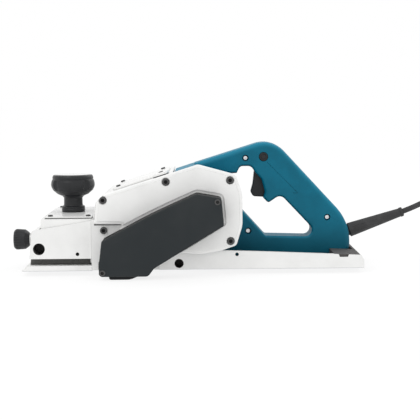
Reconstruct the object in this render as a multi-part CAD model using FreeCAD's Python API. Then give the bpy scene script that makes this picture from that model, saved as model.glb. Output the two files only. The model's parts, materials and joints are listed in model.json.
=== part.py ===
"""Belt-driven electric hand planer: one solid per piece, written to parts/NAME.step.

Frame: +X to the rear, +Y to the chip outlet side, +Z up, millimetres.
Z = 0 is the plane of the soles, Y = 0 the middle of the cut, X = 0 the middle of the length.
"""
import FreeCAD
import Part
import math
import os

V = FreeCAD.Vector

# ---------------------------------------------------------------- driving dimensions
CUT_WIDTH = 170.0          # length of the cutter block and its blades
CUT_RADIUS = 27.0          # circle that the blade edges turn on
DRUM_X = -83.0             # cutter axis, along the tool
MOTOR_X = 27.0             # motor axis, along the tool
MOTOR_Z = 86.0             # motor axis, above the soles
REAR_X = 265.0             # rear end of the rear base
TOE_X = -239.5             # front tip of the front base
INCLINE_DEG = 9.2          # slope of the ways that the front base slides on
CUT_DEPTH = 2.0            # deepest cut: how far the front base rises

# clearances and walls
SLIP = 0.3                 # between plain neighbours that must not touch
RUN = 0.03                 # radial, shaft in bearing or bush
SEAT = 0.02                # radial, bearing or core in its seat
CAST_WALL = 5.0            # die-cast aluminium
SHELL_WALL = 3.0           # moulded plastic

# cutter
BLADE_PROUD = 2.0
DRUM_RADIUS = CUT_RADIUS - BLADE_PROUD
DRUM_Z = CUT_RADIUS        # the blades just touch the plane of the soles
DRUM_GAP = 4.0             # from the cutting circle to the chamber wall
CHAMBER_RADIUS = CUT_RADIUS + DRUM_GAP
DRUM_SHAFT_R = 7.5
DRUM_BEARING_R = 17.5

# widths, all measured from the middle plane
HALF_CUT = CUT_WIDTH / 2
WALL_IN = HALF_CUT + 1.5           # inner faces of the frame's side walls
WALL_OUT = WALL_IN + 8.5           # outer faces of the frame's side walls
BASE_HALF = HALF_CUT + 7.7         # front base, just inside the side walls' front skins
REAR_HALF = HALF_CUT + 3.0         # rear base
SKIRT = 5.5                        # thickness of the front base's side skirts
SKIN = 2.0                         # the side walls' front edges lap over those skirts
PLATE_Y = -WALL_OUT                # the side housing stands on this plane
PLATE_FACE = PLATE_Y - 8.0         # its outer face
RECESS_FLOOR = PLATE_FACE + 2.2    # the belt cover sits in a shallow recess
COVER_LOW = DRUM_Z - 29.4          # the belt cover's lower edge, under the drum pulley

# belt drive
BELT_WIDTH = 21.0
COVER_DEPTH = BELT_WIDTH + 16.0    # room for the pulleys and their bolts
COVER_FACE = RECESS_FLOOR - COVER_DEPTH
BELT_RIBS = 6
BELT_THICK = 2.2
RIB_DEEP = 2.0
MOTOR_PULLEY_R = 20.0
DRUM_PULLEY_R = 24.0
PULLEY_LIP = 1.5
PULLEY_Y1 = RECESS_FLOOR - 5.5
PULLEY_Y0 = PULLEY_Y1 - BELT_WIDTH - 2 * PULLEY_LIP

# soles and frame
SOLE_THICK = 7.9
SLOT_HIGH = 10.3
REAR_SOLE = 7.0
NOSE_X = -212.0
NOSE_TOP = 76.0
NOSE_UNDER = 61.0          # height of the ways at the nose
TOP_PLATE = 3.0
STEP_X = DRUM_X - 41.0     # where the frame's side walls grow to full thickness
FRAME_REAR = -17.0
WALL_FOOT = 1.5
LEDGE_Z = 33.0             # the frame steps up here to clear the rear base's skirts

# motor
CORE_R = 37.0
ARM_R = 21.0
MOTOR_SHAFT_R = 6.0
FAR_SHAFT_R = 5.0
MOTOR_BEARING_R = 16.0
FAR_BEARING_R = 13.0
END_R = 42.0
FAN_R = 35.5
MOTOR_END = 48.0           # far end of the motor housing
END_COVER = 30.0           # depth of the cover over that end

# handle
GRIP_HALF = 22.0
GRIP_ROUND = 8.0           # along the outside of the handle
HOLE_ROUND = 4.0           # along the finger opening
HANDLE_FOOT = REAR_SOLE
PARTING = 0.1              # half the gap between the two shells
BUTTON_R = 6.6

# depth adjustment
SCREW_Z = 36.4
SCREW_R = 4.0
KNOB_R = 16.0
KNOB_FRONT = -265.0
KNOB_LONG = 24.0
KNOB_FLUTES = 24

# cord
CORD_R = 4.2
GUARD_ROOT = (249.0, 44.6)
GUARD_DEG = 18.6
GUARD_LONG = 93.0
FLOOR_Z = -7.4             # what the tool stands on: it rests on its belt cover

SLOPE = math.tan(math.radians(INCLINE_DEG))
TRAVEL_X = CUT_DEPTH / SLOPE


# ---------------------------------------------------------------- helpers
def rounded_wire(points, lift):
    """Closed wire of lines and tangent arcs through (u, v, radius) corners; lift maps (u, v) to 3-D."""
    n = len(points)
    flat = [V(p[0], p[1], 0) for p in points]
    ends = []
    for i, (u, v, r) in enumerate(points):
        here = flat[i]
        back = (flat[i - 1] - here).normalize()
        on = (flat[(i + 1) % n] - here).normalize()
        half = back.getAngle(on) / 2
        if r <= 0 or abs(half - math.pi / 2) < 1e-3:
            ends.append((here, None, here))
            continue
        reach = r / math.tan(half)
        mid_dir = (back + on).normalize()
        mid = here + mid_dir * (r / math.sin(half) - r)
        ends.append((here + back * reach, mid, here + on * reach))
    edges = []
    for i in range(n):
        start, mid, end = ends[i]
        nxt = ends[(i + 1) % n][0]
        if mid is not None:
            edges.append(Part.Arc(lift(start), lift(mid), lift(end)).toShape())
        if (nxt - end).Length > 1e-6:
            edges.append(Part.LineSegment(lift(end), lift(nxt)).toShape())
    return Part.Wire(edges)


def slab(points, y0, y1, holes=()):
    """Solid between y0 and y1 with an outline in XZ; corners are (x, z) or (x, z, radius)."""
    def corners(ps):
        return [(p[0], p[1], p[2] if len(p) > 2 else 0.0) for p in ps]

    def lift(p):
        return V(p.x, y0, p.y)

    solid = Part.Face(rounded_wire(corners(points), lift)).extrude(V(0, y1 - y0, 0))
    for hole in holes:
        solid = solid.cut(slab(hole, y0 - 1, y1 + 1))
    return solid


def plan(points, z0, z1):
    """Solid between z0 and z1 with an outline in XY."""
    corners = [(p[0], p[1], p[2] if len(p) > 2 else 0.0) for p in points]
    return Part.Face(rounded_wire(corners, lambda p: V(p.x, p.y, z0))).extrude(V(0, 0, z1 - z0))


def box(x0, x1, y0, y1, z0, z1):
    return Part.makeBox(x1 - x0, y1 - y0, z1 - z0, V(x0, y0, z0))


def rod_y(x, z, r, y0, y1):
    return Part.makeCylinder(r, y1 - y0, V(x, y0, z), V(0, 1, 0))


def rod_x(y, z, r, x0, x1):
    return Part.makeCylinder(r, x1 - x0, V(x0, y, z), V(1, 0, 0))


def rod_z(x, y, r, z0, z1):
    return Part.makeCylinder(r, z1 - z0, V(x, y, z0), V(0, 0, 1))


def ring_y(x, z, r_in, r_out, y0, y1):
    return rod_y(x, z, r_out, y0, y1).cut(rod_y(x, z, r_in, y0 - 1, y1 + 1))


def join(first, *others):
    return first.multiFuse(list(others)).removeSplitter()


def cut(first, *others):
    return first.cut(Part.makeCompound(list(others)))


def turned(profile, axis_at, axis):
    """Full revolve of a closed (radius, along) profile about an axis through axis_at."""
    axis = V(*axis)
    side = V(0, 0, 1) if abs(axis.z) < 0.5 else V(1, 0, 0)
    points = [V(*axis_at) + side * r + axis * a for r, a in profile]
    face = Part.Face(Part.makePolygon(points + [points[0]]))
    return face.revolve(V(*axis_at), axis, 360)


def flat_edges(shape, y):
    """Edges that lie in the plane Y = y."""
    return [e for e in shape.Edges
            if abs(e.BoundBox.YMin - y) < 1e-4 and abs(e.BoundBox.YMax - y) < 1e-4]


def level_edges(shape, z):
    """Edges that lie in the plane Z = z."""
    return [e for e in shape.Edges
            if abs(e.BoundBox.ZMin - z) < 1e-4 and abs(e.BoundBox.ZMax - z) < 1e-4]


def save(name, shape):
    if shape.ShapeType == "Compound" and len(shape.Solids) == 1:
        shape = shape.Solids[0]
    good = shape.isValid() and all(s.isClosed() and s.Volume > 0 for s in shape.Solids)
    print(f"{name:22s} solids {len(shape.Solids)} volume {shape.Volume / 1000:8.2f} cm3"
          f"{'' if good else '   BAD'}")
    shape.exportStep(f"parts/{name}.step")


def screw(r_head, head, r_shank, length, socket=True):
    """Cap screw along +Z: its head stands above Z = 0 and its shank hangs below."""
    body = Part.makeCylinder(r_head, head)
    body = body.makeFillet(0.25 * head, [e for e in body.Edges if e.BoundBox.ZMin > head - 1e-4])
    body = body.fuse(Part.makeCylinder(r_shank, length, V(0, 0, -length)))
    if socket:
        across = 0.55 * r_head
        corners = [V(across * math.cos(a), across * math.sin(a), head * 0.35)
                   for a in [i * math.pi / 3 for i in range(6)]]
        hexagon = Part.Face(Part.makePolygon(corners + [corners[0]]))
        body = body.cut(hexagon.extrude(V(0, 0, head)))
    return body.removeSplitter()


def aim(shape, at, direction):
    """Places a shape built along +Z so that its origin is at a point and +Z runs along direction."""
    placed = shape.copy()
    placed.Placement = FreeCAD.Placement(V(*at), FreeCAD.Rotation(V(0, 0, 1), V(*direction)))
    return placed


# ---------------------------------------------------------------- shared outlines
def incline(x, drop=0.0):
    """Height of the sliding ways at x."""
    return NOSE_UNDER + SLOPE * (x - NOSE_X) - drop


TOP_RISE = 0.309           # how much the sloping top rises for each millimetre back


def top_line(x):
    """Height of the frame's sloping top at x."""
    return 111.5 + TOP_RISE * (x + 119.0)


TOP_FRONT = (-119.0, 111.5)
SIDE_SCREWS = [(-118.3, 105.0), (-26.3, 131.0), (67.2, 132.6), (67.5, 43.6)]
LOWER_SCREW = (STEP_X + 5.8, 60.2)
SIDE_SCREW_R = 5.2
COVER_SCREWS = [(48.4, 104.0), (-117.5, COVER_LOW + 5.6)]

SIDE_OUTLINE = [(-131.9, 70.0, 3), (-127.9, 101.5, 8), (-118.0, 112.6, 6), (20.5, 155.8, 12),
                (75.5, 140.6, 7), (85.0, 112.0, 40), (85.0, 66.0, 40), (76.0, 37.0, 7),
                (54.0, 29.6, 30), (24.0, 24.4, 60), (-6.0, 27.0, 30), (-40.0, 14.0, 10),
                (-58.0, -1.0, 12), (-111.5, -1.0, 8), (-114.5, 46.5, 4), (-96.0, 57.5, 3),
                (-89.4, 69.2, 2)]
COVER_OUTLINE = [(-118.3, 48.6, 3), (-50.0, 85.0, 900), (18.4, 115.6, 10), (54.0, 109.0, 5), (57.4, 70.0, 3),
                 (-43.5, 9.0, 8), (-52.0, COVER_LOW, 8), (-122.0, COVER_LOW, 5), (-123.0, COVER_LOW + 13.4, 3)]
BARREL_OUTLINE = [(-15.0, LEDGE_Z, 2), (-15.0, 141.5, 2), (20.0, 152.6, 12), (72.5, 138.0, 8),
                  (82.5, 112.0, 40), (82.5, 66.0, 40), (73.5, 40.0, 8), (54.0, LEDGE_Z, 20)]


def grown(points, y0, y1, by):
    """slab() of an outline moved outwards by a distance (inwards where by is negative)."""
    face = slab(points, y0, y1).Faces
    base = min(face, key=lambda f: f.CenterOfMass.y + (0 if abs(f.normalAt(0, 0).y) > 0.9 else 1e6))
    wire = base.OuterWire.makeOffset2D(by)
    return Part.Face(wire).extrude(V(0, y1 - y0, 0))


# ---------------------------------------------------------------- frame and bases
def side_wall(y0, y1):
    """One of the frame's two full-thickness side walls, with the drum bearing's seat."""
    wall = slab([(STEP_X, WALL_FOOT, 3), (STEP_X, NOSE_TOP + 1), (-131.0, NOSE_TOP + 1),
                 (-127.0, 100.5, 8), (*TOP_FRONT, 6), (FRAME_REAR, top_line(FRAME_REAR)),
                 (FRAME_REAR, LEDGE_Z), (-38.6, LEDGE_Z), (-38.6, WALL_FOOT, 3)], y0, y1)
    skin_y = (y0, y0 + SKIN) if y0 < 0 else (y1 - SKIN, y1)
    skin_x = STEP_X - TRAVEL_X - SLIP
    wall = wall.fuse(slab([(skin_x, WALL_FOOT, 2), (skin_x, NOSE_TOP, 2), (STEP_X + 3, NOSE_TOP),
                           (STEP_X + 3, WALL_FOOT)], *skin_y)).removeSplitter()
    return wall.cut(rod_y(DRUM_X, DRUM_Z, DRUM_BEARING_R + SEAT, y0 - 1, y1 + 1))


def frame_casting():
    in_y = (-WALL_IN, WALL_IN)
    wedge = slab([(NOSE_X, NOSE_UNDER), (NOSE_X, NOSE_TOP), (-129.0, NOSE_TOP),
                  (-129.0, incline(-129.0))], *in_y)
    wedge = wedge.makeFillet(4, [e for e in wedge.Edges if e.BoundBox.XMax < NOSE_X + 0.01
                                 and e.BoundBox.ZLength > 5])
    front = slab([(-135.5, NOSE_TOP - 0.5), (-130.0, 100.5, 8), (*TOP_FRONT, 6),
                  (-116.0, 106.5), (-125.0, 98.0, 6), (-129.5, NOSE_TOP - 1)], *in_y)
    mouth_x = STEP_X + 2.0
    arc_at = DRUM_X - CHAMBER_RADIUS
    front_low = slab([(mouth_x, 11.3), (mouth_x, NOSE_TOP), (-129.5, NOSE_TOP - 1),
                      (-127.0, 84.0), (arc_at, 84.0), (arc_at, 11.3)], *in_y)
    front_low = front_low.cut(rod_y(DRUM_X, DRUM_Z, CHAMBER_RADIUS, -WALL_IN - 1, WALL_IN + 1))
    roof = slab([TOP_FRONT, (FRAME_REAR, top_line(FRAME_REAR)),
                 (FRAME_REAR, top_line(FRAME_REAR) - CAST_WALL), (-117.0, 106.0)], *in_y)
    hood = ring_y(DRUM_X, DRUM_Z, CHAMBER_RADIUS, CHAMBER_RADIUS + CAST_WALL, *in_y)
    hood = hood.common(slab([(DRUM_X + 4, DRUM_Z), (DRUM_X + 4, 70), (-40, 70), (-40, 12.0),
                             (DRUM_X + 24, 12.0)], *in_y))
    deflector = slab([(DRUM_X + 2, DRUM_Z + CHAMBER_RADIUS + 1), (DRUM_X + 8, DRUM_Z + CHAMBER_RADIUS),
                      (-38.0, top_line(-38.0) - 3), (-44.0, top_line(-44.0) - 3)], *in_y)
    back = slab([(FRAME_REAR - CAST_WALL, REAR_SOLE), (FRAME_REAR - CAST_WALL, top_line(-22) - 2),
                 (FRAME_REAR, top_line(FRAME_REAR) - 2), (FRAME_REAR, REAR_SOLE)],
                -REAR_HALF + 5.5, REAR_HALF - 5.5)
    back = back.fuse(slab([(FRAME_REAR - CAST_WALL, LEDGE_Z), (FRAME_REAR - CAST_WALL, top_line(-22) - 2),
                           (FRAME_REAR, top_line(FRAME_REAR) - 2), (FRAME_REAR, LEDGE_Z)], *in_y))
    flange = box(-54.0, FRAME_REAR, -REAR_HALF + 5.5, REAR_HALF - 5.5, REAR_SOLE, 13.0)
    thin = [slab([(STEP_X - 15, 11.3), (STEP_X - 15, incline(STEP_X - 15) + 1),
                  (STEP_X + 3, incline(STEP_X) + 1), (STEP_X + 3, 11.3)], y0, y1)
            for y0, y1 in ((-WALL_IN, -WALL_IN + 5.7), (WALL_IN - 5.7, WALL_IN))]
    lug = slab([(-197.0, SCREW_Z - 9, 3), (-197.0, NOSE_UNDER + 4), (-189.0, NOSE_UNDER + 5),
                (-189.0, SCREW_Z - 9, 3)], -11, 11)
    body = join(wedge, front, front_low, roof, hood, deflector, back, flange, *thin, lug,
                side_wall(-WALL_OUT, -WALL_IN), side_wall(WALL_IN, WALL_OUT))
    holes = [rod_x(0, SCREW_Z, SCREW_R + RUN, -200, -180)]
    holes += [rod_y(x, z, 2.6, -WALL_OUT - 1, -WALL_IN + 4) for x, z in SIDE_SCREWS[:2]]
    holes += [rod_y(*LOWER_SCREW, 2.6, -WALL_OUT - 1, -WALL_IN + 4)]
    holes += [rod_y(x, z, 2.1, -WALL_OUT - 1, -WALL_IN + 1) for x, z in COVER_SCREWS[1:]]
    holes += [rod_z(x, y, 2.1, NOSE_TOP - 6, NOSE_TOP + 1) for x, y in PLATE_SCREWS]
    holes += [rod_z(KNOB_AT, 0, 5.1, NOSE_UNDER - 4, NOSE_TOP + 1)]
    holes += [rod_z(x, y, 2.6, REAR_SOLE - 1, 14) for x, y in BASE_BOLTS]
    holes += [chip_window(WALL_IN - 1, WALL_OUT + 1)]
    holes += [aim(Part.makeCylinder(1.8, 9, V(0, 0, -9)), p, TOP_NORMAL) for p in chip_cover_points()]
    return cut(body, *holes)


PLATE_BOX = (-207.0, -137.0, -WALL_IN + 8.0, WALL_IN - 10.0)
PLATE_SCREWS = [(x, y) for x in (PLATE_BOX[0] + 8, PLATE_BOX[1] - 6)
                for y in (PLATE_BOX[2] + 8, PLATE_BOX[3] - 8)]
KNOB_AT = -173.0
BASE_BOLTS = [(-36.0, y) for y in (-HALF_CUT + 25, HALF_CUT - 25)]
TOP_NORMAL = (-math.sin(math.atan(TOP_RISE)), 0, math.cos(math.atan(TOP_RISE)))


def chip_window(y0, y1, by=0.0):
    return slab([(-110.0 - by, 66.0 - by, 6 + by), (-110.0 - by, 100.0 + by, 6 + by),
                 (-72.0 + by, 100.0 + by, 6 + by), (-72.0 + by, 66.0 - by, 6 + by)], y0, y1)


def chip_cover_points():
    """Screw places on the sloping top, on the frame's surface."""
    return [(x, y, top_line(x)) for x in (-98.0, -34.0) for y in (-48.0, 48.0)]


def chip_cover():
    t = 3.2
    up = V(*TOP_NORMAL)
    ends = [(-106.0, top_line(-106.0)), (-24.0, top_line(-24.0))]
    lift = (up.x * t, up.z * t)
    body = slab([ends[0], (ends[0][0] + lift[0], ends[0][1] + lift[1]),
                 (ends[1][0] + lift[0], ends[1][1] + lift[1]), ends[1]], -62.0, 62.0)
    corners = [e for e in body.Edges if e.BoundBox.YLength < 0.01 and e.Length < t + 0.1]
    body = body.makeFillet(9.0, corners)
    rim = [e for e in body.Edges
           if (e.CenterOfMass - V(*chip_cover_points()[0])).dot(up) > t - 0.05]
    body = body.makeFillet(1.4, rim)
    holes = [aim(Part.makeCylinder(1.9, 9, V(0, 0, -2)), p, TOP_NORMAL) for p in chip_cover_points()]
    body = body.fuse(chip_cover_catch())
    return cut(body, *holes)


CATCH_OUTLINE = [(-1.0, 0.0), (19.0, 0.0), (23.0, 24.0), (3.0, 24.0)]
CATCH_AT = (-44.0, -80.0)
CATCH_THICK = 4.4


def chip_cover_catch():
    """Raised catch plate at the cover's near rear corner, beside the motor housing."""
    points = [V(x, y, 0) for x, y in CATCH_OUTLINE]
    catch = Part.Face(Part.makePolygon(points + [points[0]])).extrude(V(0, 0, CATCH_THICK))
    catch.rotate(V(0, 0, 0), V(0, 1, 0), -math.degrees(math.atan(TOP_RISE)))
    catch.translate(V(*CATCH_AT, top_line(CATCH_AT[0]) + 0.1))
    return catch


def chip_cover_screws():
    one = screw(3.4, 2.2, 1.7, 3.2 + 5)
    return [aim(one, V(*p) + V(*TOP_NORMAL) * 3.2, TOP_NORMAL) for p in chip_cover_points()]


def chip_outlet():
    """Moulded lip round the window that chips leave by."""
    lip = chip_window(WALL_OUT, WALL_OUT + 2.0, 4.0)
    lip = lip.makeFillet(0.8, flat_edges(lip, WALL_OUT + 2.0))
    sleeve = chip_window(WALL_IN + 0.5, WALL_OUT + 0.5, -SLIP)
    inside = chip_window(WALL_IN - 1, WALL_OUT + 3, -2.2)
    return join(lip, sleeve).cut(inside)


def front_base():
    rear = STEP_X - 13.0
    lip_x = DRUM_X - 31.0
    top = [(-224.0, incline(-224.0, SLIP)), (rear, incline(rear, SLIP))]
    sole = slab([(TOE_X, 0), (TOE_X, 2.0), (-229.5, SOLE_THICK), (rear, SOLE_THICK), (rear, 0)],
                -BASE_HALF, BASE_HALF)
    lip = slab([(rear - 5, 0), (rear - 5, SOLE_THICK), (lip_x - 9, SOLE_THICK), (lip_x, 3.0),
                (lip_x, 0)], -HALF_CUT - 0.8, HALF_CUT + 0.8)
    shelf = SOLE_THICK + SLOT_HIGH
    parts = [lip]
    for side in (-1, 1):
        def span(a, b):
            return sorted((side * a, side * b))
        outer, inner = BASE_HALF, BASE_HALF - SKIRT
        skirt = slab([(-228.2, shelf), (-224.4, top[0][1] + 1.0, 3), (rear, top[1][1] + 1.0), (rear, shelf)],
                     *span(inner, outer))
        ledge = slab([(-228.2, shelf), (-227.1, shelf + 4), (rear, shelf + 4), (rear, shelf)],
                     *span(WALL_IN - 12, outer))
        web = slab([(-226.0, SOLE_THICK - 1), (-224.0, top[0][1]), top[1], (rear, SOLE_THICK - 1)],
                   *span(WALL_IN - 14, WALL_IN - 6.4))
        parts += [skirt, ledge, web]
    nose = slab([(-228.9, SOLE_THICK - 1), (-224.0, top[0][1] - 0.6), (-216.5, incline(-216.5, SLIP)),
                 (-219.0, SOLE_THICK - 1)], -BASE_HALF, BASE_HALF)
    nose = nose.cut(slab([(-236, SOLE_THICK), (-236, shelf), (-200, shelf), (-200, SOLE_THICK)],
                         -BASE_HALF - 1, -WALL_IN + 6.4))
    nose = nose.cut(slab([(-236, SOLE_THICK), (-236, shelf), (-200, shelf), (-200, SOLE_THICK)],
                         WALL_IN - 6.4, BASE_HALF + 1))
    carrier = box(-181.0, -160.0, -16, 16, SOLE_THICK - 1, 48)
    ribs = [box(-219.0, rear, y - 2, y + 2, SOLE_THICK - 1, 20) for y in (-40.0, 40.0)]
    hole_x, hole_z, hole_r = FRONT_FENCE_HOLE
    socket = rod_y(hole_x, hole_z, hole_r + 3.5, 1 - BASE_HALF, 3 - BASE_HALF + FENCE_DEPTH)
    body = join(sole, *parts, nose, carrier, *ribs, socket)
    holes = [box(-176.0 - SLIP, -165.0 + SLIP, -8 - SLIP, 8 + SLIP, 20, 60),
             box(-182, -159, -SCREW_R - 2, SCREW_R + 2, SCREW_Z - SCREW_R - 4, 60),
             slab([(-240, SCREW_Z - 10, 6), (-240, SCREW_Z + 10, 6), (-210, SCREW_Z + 10, 6),
                   (-210, SCREW_Z - 10, 6)], -8.5, 8.5),
             box(STEP_X - 30, rear + 1, -WALL_IN - 0.7, -WALL_IN + 6.2, SOLE_THICK, 90),
             box(STEP_X - 30, rear + 1, WALL_IN - 6.2, WALL_IN + 0.7, SOLE_THICK, 90)]
    holes += [rod_y(*FRONT_FENCE_HOLE, -BASE_HALF - 1, -BASE_HALF + FENCE_DEPTH),
              rod_y(*FRONT_FENCE_THREAD, -BASE_HALF - 1, -BASE_HALF + SKIRT + 1)]
    groove_depth = 1.6
    groove = slab([(TOE_X - 1, -1), (TOE_X - 1, groove_depth), (lip_x + 1, groove_depth), (lip_x + 1, -1)],
                  -groove_depth, groove_depth)
    wedge_groove = Part.Face(Part.makePolygon([
        V(TOE_X - 1, -4, -0.01), V(TOE_X - 1, 0, 4), V(TOE_X - 1, 4, -0.01), V(TOE_X - 1, -4, -0.01)]))
    wedge_groove = wedge_groove.extrude(V(lip_x - TOE_X + 2, 0, 0))
    return cut(body, *holes, groove, wedge_groove)


FRONT_FENCE_HOLE = (-214.0, 32.8, 8.6)
FENCE_DEPTH = 28.0
FRONT_FENCE_THREAD = (-157.5, 25.0, 2.5)
REAR_FENCE_HOLE = (-8.6, 9.2, 6.6)
REAR_FENCE_THREAD = (77.1, 22.0, 2.5)


DECK_X = REAR_X - 44.0      # behind this the rear base is level with its skirts
NOTCH_DEEP = 4.0            # of the notches in the skirts beside the deck


def rear_edge(x):
    """Height of the rear base's side skirts at x."""
    return 28.4 - 0.0428 * (x - 52.0)


def rear_base():
    front = DRUM_X + 23.0
    sole = slab([(front, 0), (front, 3), (front + 5, REAR_SOLE), (REAR_X - 4, REAR_SOLE), (REAR_X - 4, 0)],
                -HALF_CUT - 0.8, HALF_CUT + 0.8)
    body = [sole]
    for side in (-1, 1):
        y0, y1 = sorted((side * (REAR_HALF - 5), side * REAR_HALF))
        skirt = slab([(-38.0, 0), (-38.0, rear_edge(-38), 2), (REAR_X - 5, rear_edge(REAR_X - 5), 2),
                      (REAR_X, 12.0, 2), (REAR_X, 0)], y0, y1)
        notch_at = REAR_X - 30.0
        floor = rear_edge(notch_at) - NOTCH_DEEP
        notch = slab([(notch_at - 9.5, floor + 9), (notch_at - 6, floor, 1), (notch_at + 6, floor, 1),
                      (notch_at + 9.5, floor + 9)], y0 - 1, y1 + 1)
        body.append(skirt.cut(notch))
    end = slab([(REAR_X - 6, 0), (REAR_X - 6, rear_edge(REAR_X - 6) - 0.4), (REAR_X - 4.5, rear_edge(REAR_X - 5) - 1),
                (REAR_X, 12.0, 2), (REAR_X, 0)], -REAR_HALF, REAR_HALF)
    ribs = [box(-12.0, REAR_X - 5, y - 2, y + 2, REAR_SOLE - 1, 13.0) for y in (-52.0, 52.0)]
    cross = [box(x - 2, x + 2, -REAR_HALF + 3, REAR_HALF - 3, REAR_SOLE - 1, 13.0)
             for x in (REAR_X - 150, REAR_X - 75)]
    deck = slab([(DECK_X, REAR_SOLE - 1), (DECK_X, rear_edge(DECK_X) - 0.3),
                 (REAR_X - 5, rear_edge(REAR_X - 5) - 0.3), (REAR_X - 5, REAR_SOLE - 1)],
                -REAR_HALF + 3, REAR_HALF - 3)
    deck = cut(deck, box(DECK_X - 1, REAR_X - 9, -GRIP_HALF - 1, GRIP_HALF + 1, REAR_SOLE, 40))
    clear = box(0, REAR_X - 8, -GRIP_HALF - 1, GRIP_HALF + 1, REAR_SOLE, 40)
    hole_x, hole_z, hole_r = REAR_FENCE_HOLE
    socket = rod_y(hole_x, hole_z, hole_r + 1.5, 1 - REAR_HALF, 3 - REAR_HALF + FENCE_DEPTH)
    body = join(*body, end, deck, socket, *[c.cut(clear) for c in ribs + cross])
    holes = [rod_y(*REAR_FENCE_HOLE, -REAR_HALF - 1, -REAR_HALF + FENCE_DEPTH),
             rod_y(*REAR_FENCE_THREAD, -REAR_HALF - 1, -REAR_HALF + 5.5)]
    for x, y in BASE_BOLTS:
        holes += [rod_z(x, y, 2.6, -1, 9), rod_z(x, y, 5.4, -1, 4.2)]
    return cut(body, *holes)


def base_bolts():
    one = screw(5.0, 3.0, 2.5, 9.4)
    return [aim(one, (x, y, 4.0), (0, 0, -1)) for x, y in BASE_BOLTS]


def top_plate():
    x0, x1, y0, y1 = PLATE_BOX
    body = plan([(x0, y0, 4), (x1, y0, 2), (x1, y1, 2), (x0, y1, 4)], NOSE_TOP, NOSE_TOP + TOP_PLATE)
    body = body.makeFillet(0.8, level_edges(body, NOSE_TOP + TOP_PLATE))
    holes = [rod_z(x, y, 2.1, NOSE_TOP - 1, NOSE_TOP + 9) for x, y in PLATE_SCREWS]
    return cut(body, *holes, rod_z(KNOB_AT, 0, 5.1, NOSE_TOP - 1, NOSE_TOP + 9))


def top_plate_screws():
    one = screw(3.6, 2.0, 2.0, TOP_PLATE + 5)
    return [aim(one, (x, y, NOSE_TOP + TOP_PLATE), (0, 0, 1)) for x, y in PLATE_SCREWS]


def front_knob():
    z0 = NOSE_TOP + TOP_PLATE
    profile = [(5.2, 0), (17.6, 0), (18.0, 4.6), (17.4, 5.6), (17.8, 6.6), (17.6, 8.6), (15.0, 9.8),
               (14.4, 11.5), (14.2, 21.5), (16.5, 24.5), (23.5, 27.5), (30.5, 33.5), (33.0, 38.5),
               (33.6, 42.0), (33.0, 46.5), (31.8, 49.6), (31.0, 50.4), (31.0, 51.2), (31.5, 52.2),
               (31.0, 54.6), (30.0, 56.4), (KNOB_CAP_R + 0.3, 57.0),
               (KNOB_CAP_R + 0.3, 52.4), (11.0, 52.4), (11.0, 46.0), (5.2, 46.0)]
    body = turned(profile, (KNOB_AT, 0, z0), (0, 0, 1))
    grooves = []
    for degrees in (45, 135, 225, 315):
        a = math.radians(degrees)
        x, y = KNOB_AT + GROOVE_AT * math.cos(a), GROOVE_AT * math.sin(a)
        grooves.append(rod_z(x, y, GROOVE_R, z0 + 24, z0 + 49.6))
    return cut(body, *grooves)


KNOB_CAP_R = 28.4
GROOVE_AT = 40.5            # the four finger grooves' distance from the knob's middle
GROOVE_R = 10.5


def front_knob_bolt():
    z0 = NOSE_TOP + TOP_PLATE
    body = rod_z(KNOB_AT, 0, 5.0, NOSE_UNDER + 7.5, z0 + 46)
    return body.fuse(rod_z(KNOB_AT, 0, 9.0, z0 + 46, z0 + 52)).removeSplitter()


def front_knob_cap():
    z0 = NOSE_TOP + TOP_PLATE
    r = KNOB_CAP_R
    return turned([(0, 52.6), (r, 52.6), (r, 57.0), (r - 1, 57.8), (r * 0.5, 58.4), (0, 58.6)],
                  (KNOB_AT, 0, z0), (0, 0, 1))


# ---------------------------------------------------------------- side housing and belt cover
def side_housing():
    body = slab(SIDE_OUTLINE, PLATE_FACE + PANEL_RISE, PLATE_Y)
    body = body.makeFillet(2.0, flat_edges(body, PLATE_FACE + PANEL_RISE))
    body = body.fuse(grown(SIDE_OUTLINE, PLATE_FACE, PLATE_Y - 1, -PANEL_INSET))
    recess = grown(COVER_OUTLINE, PLATE_FACE - 1, RECESS_FLOOR, 4.0)
    body = body.cut(recess)
    boss = rod_y(MOTOR_X, MOTOR_Z, MOTOR_BEARING_R + 6, PLATE_Y - 1, PLATE_Y + 8)
    body = body.fuse(boss)
    body = cut(body, rod_y(MOTOR_X, MOTOR_Z, MOTOR_BEARING_R + SEAT, PLATE_Y - 2.0, PLATE_Y + 9),
               rod_y(MOTOR_X, MOTOR_Z, MOTOR_SHAFT_R + 3, PLATE_FACE - 1, PLATE_Y + 9),
               rod_y(DRUM_X, DRUM_Z, DRUM_BEARING_R + SEAT, PLATE_FACE - 1, PLATE_Y + 1))
    holes = []
    for x, z in SIDE_SCREWS:
        holes += [rod_y(x, z, SIDE_SCREW_R + 0.9, PLATE_FACE - 1, PLATE_FACE + 3.0),
                  rod_y(x, z, 2.6, PLATE_FACE - 1, PLATE_Y + 1)]
    holes += [rod_y(x, z, 2.1, PLATE_FACE - 1, PLATE_Y + 1) for x, z in COVER_SCREWS]
    return cut(body, *holes)


def side_housing_screws():
    one = screw(SIDE_SCREW_R, 4.2, 2.5, 11.4)
    placed = [aim(one, (x, PLATE_FACE + 3.0, z), (0, -1, 0)) for x, z in SIDE_SCREWS]
    low = screw(SIDE_SCREW_R, 4.2, 2.5, 8.0)
    return placed + [aim(low, (LOWER_SCREW[0], -WALL_OUT, LOWER_SCREW[1]), (0, -1, 0))]


PANEL_RISE = 1.2            # the side housing's face stands this far above its border
PANEL_INSET = 4.5
BELLY_OUTLINE = [(DRUM_X - 25.5, 12.0), (DRUM_X - 25.5, FLOOR_Z, 3), (DRUM_X + 5.0, FLOOR_Z, 24),
                 (DRUM_X + 33.0, 4.0, 4), (DRUM_X + 36.0, 16.0)]
BELLY_FACE = COVER_FACE + 5.5
COVER_BOSS_R = 5.0


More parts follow.
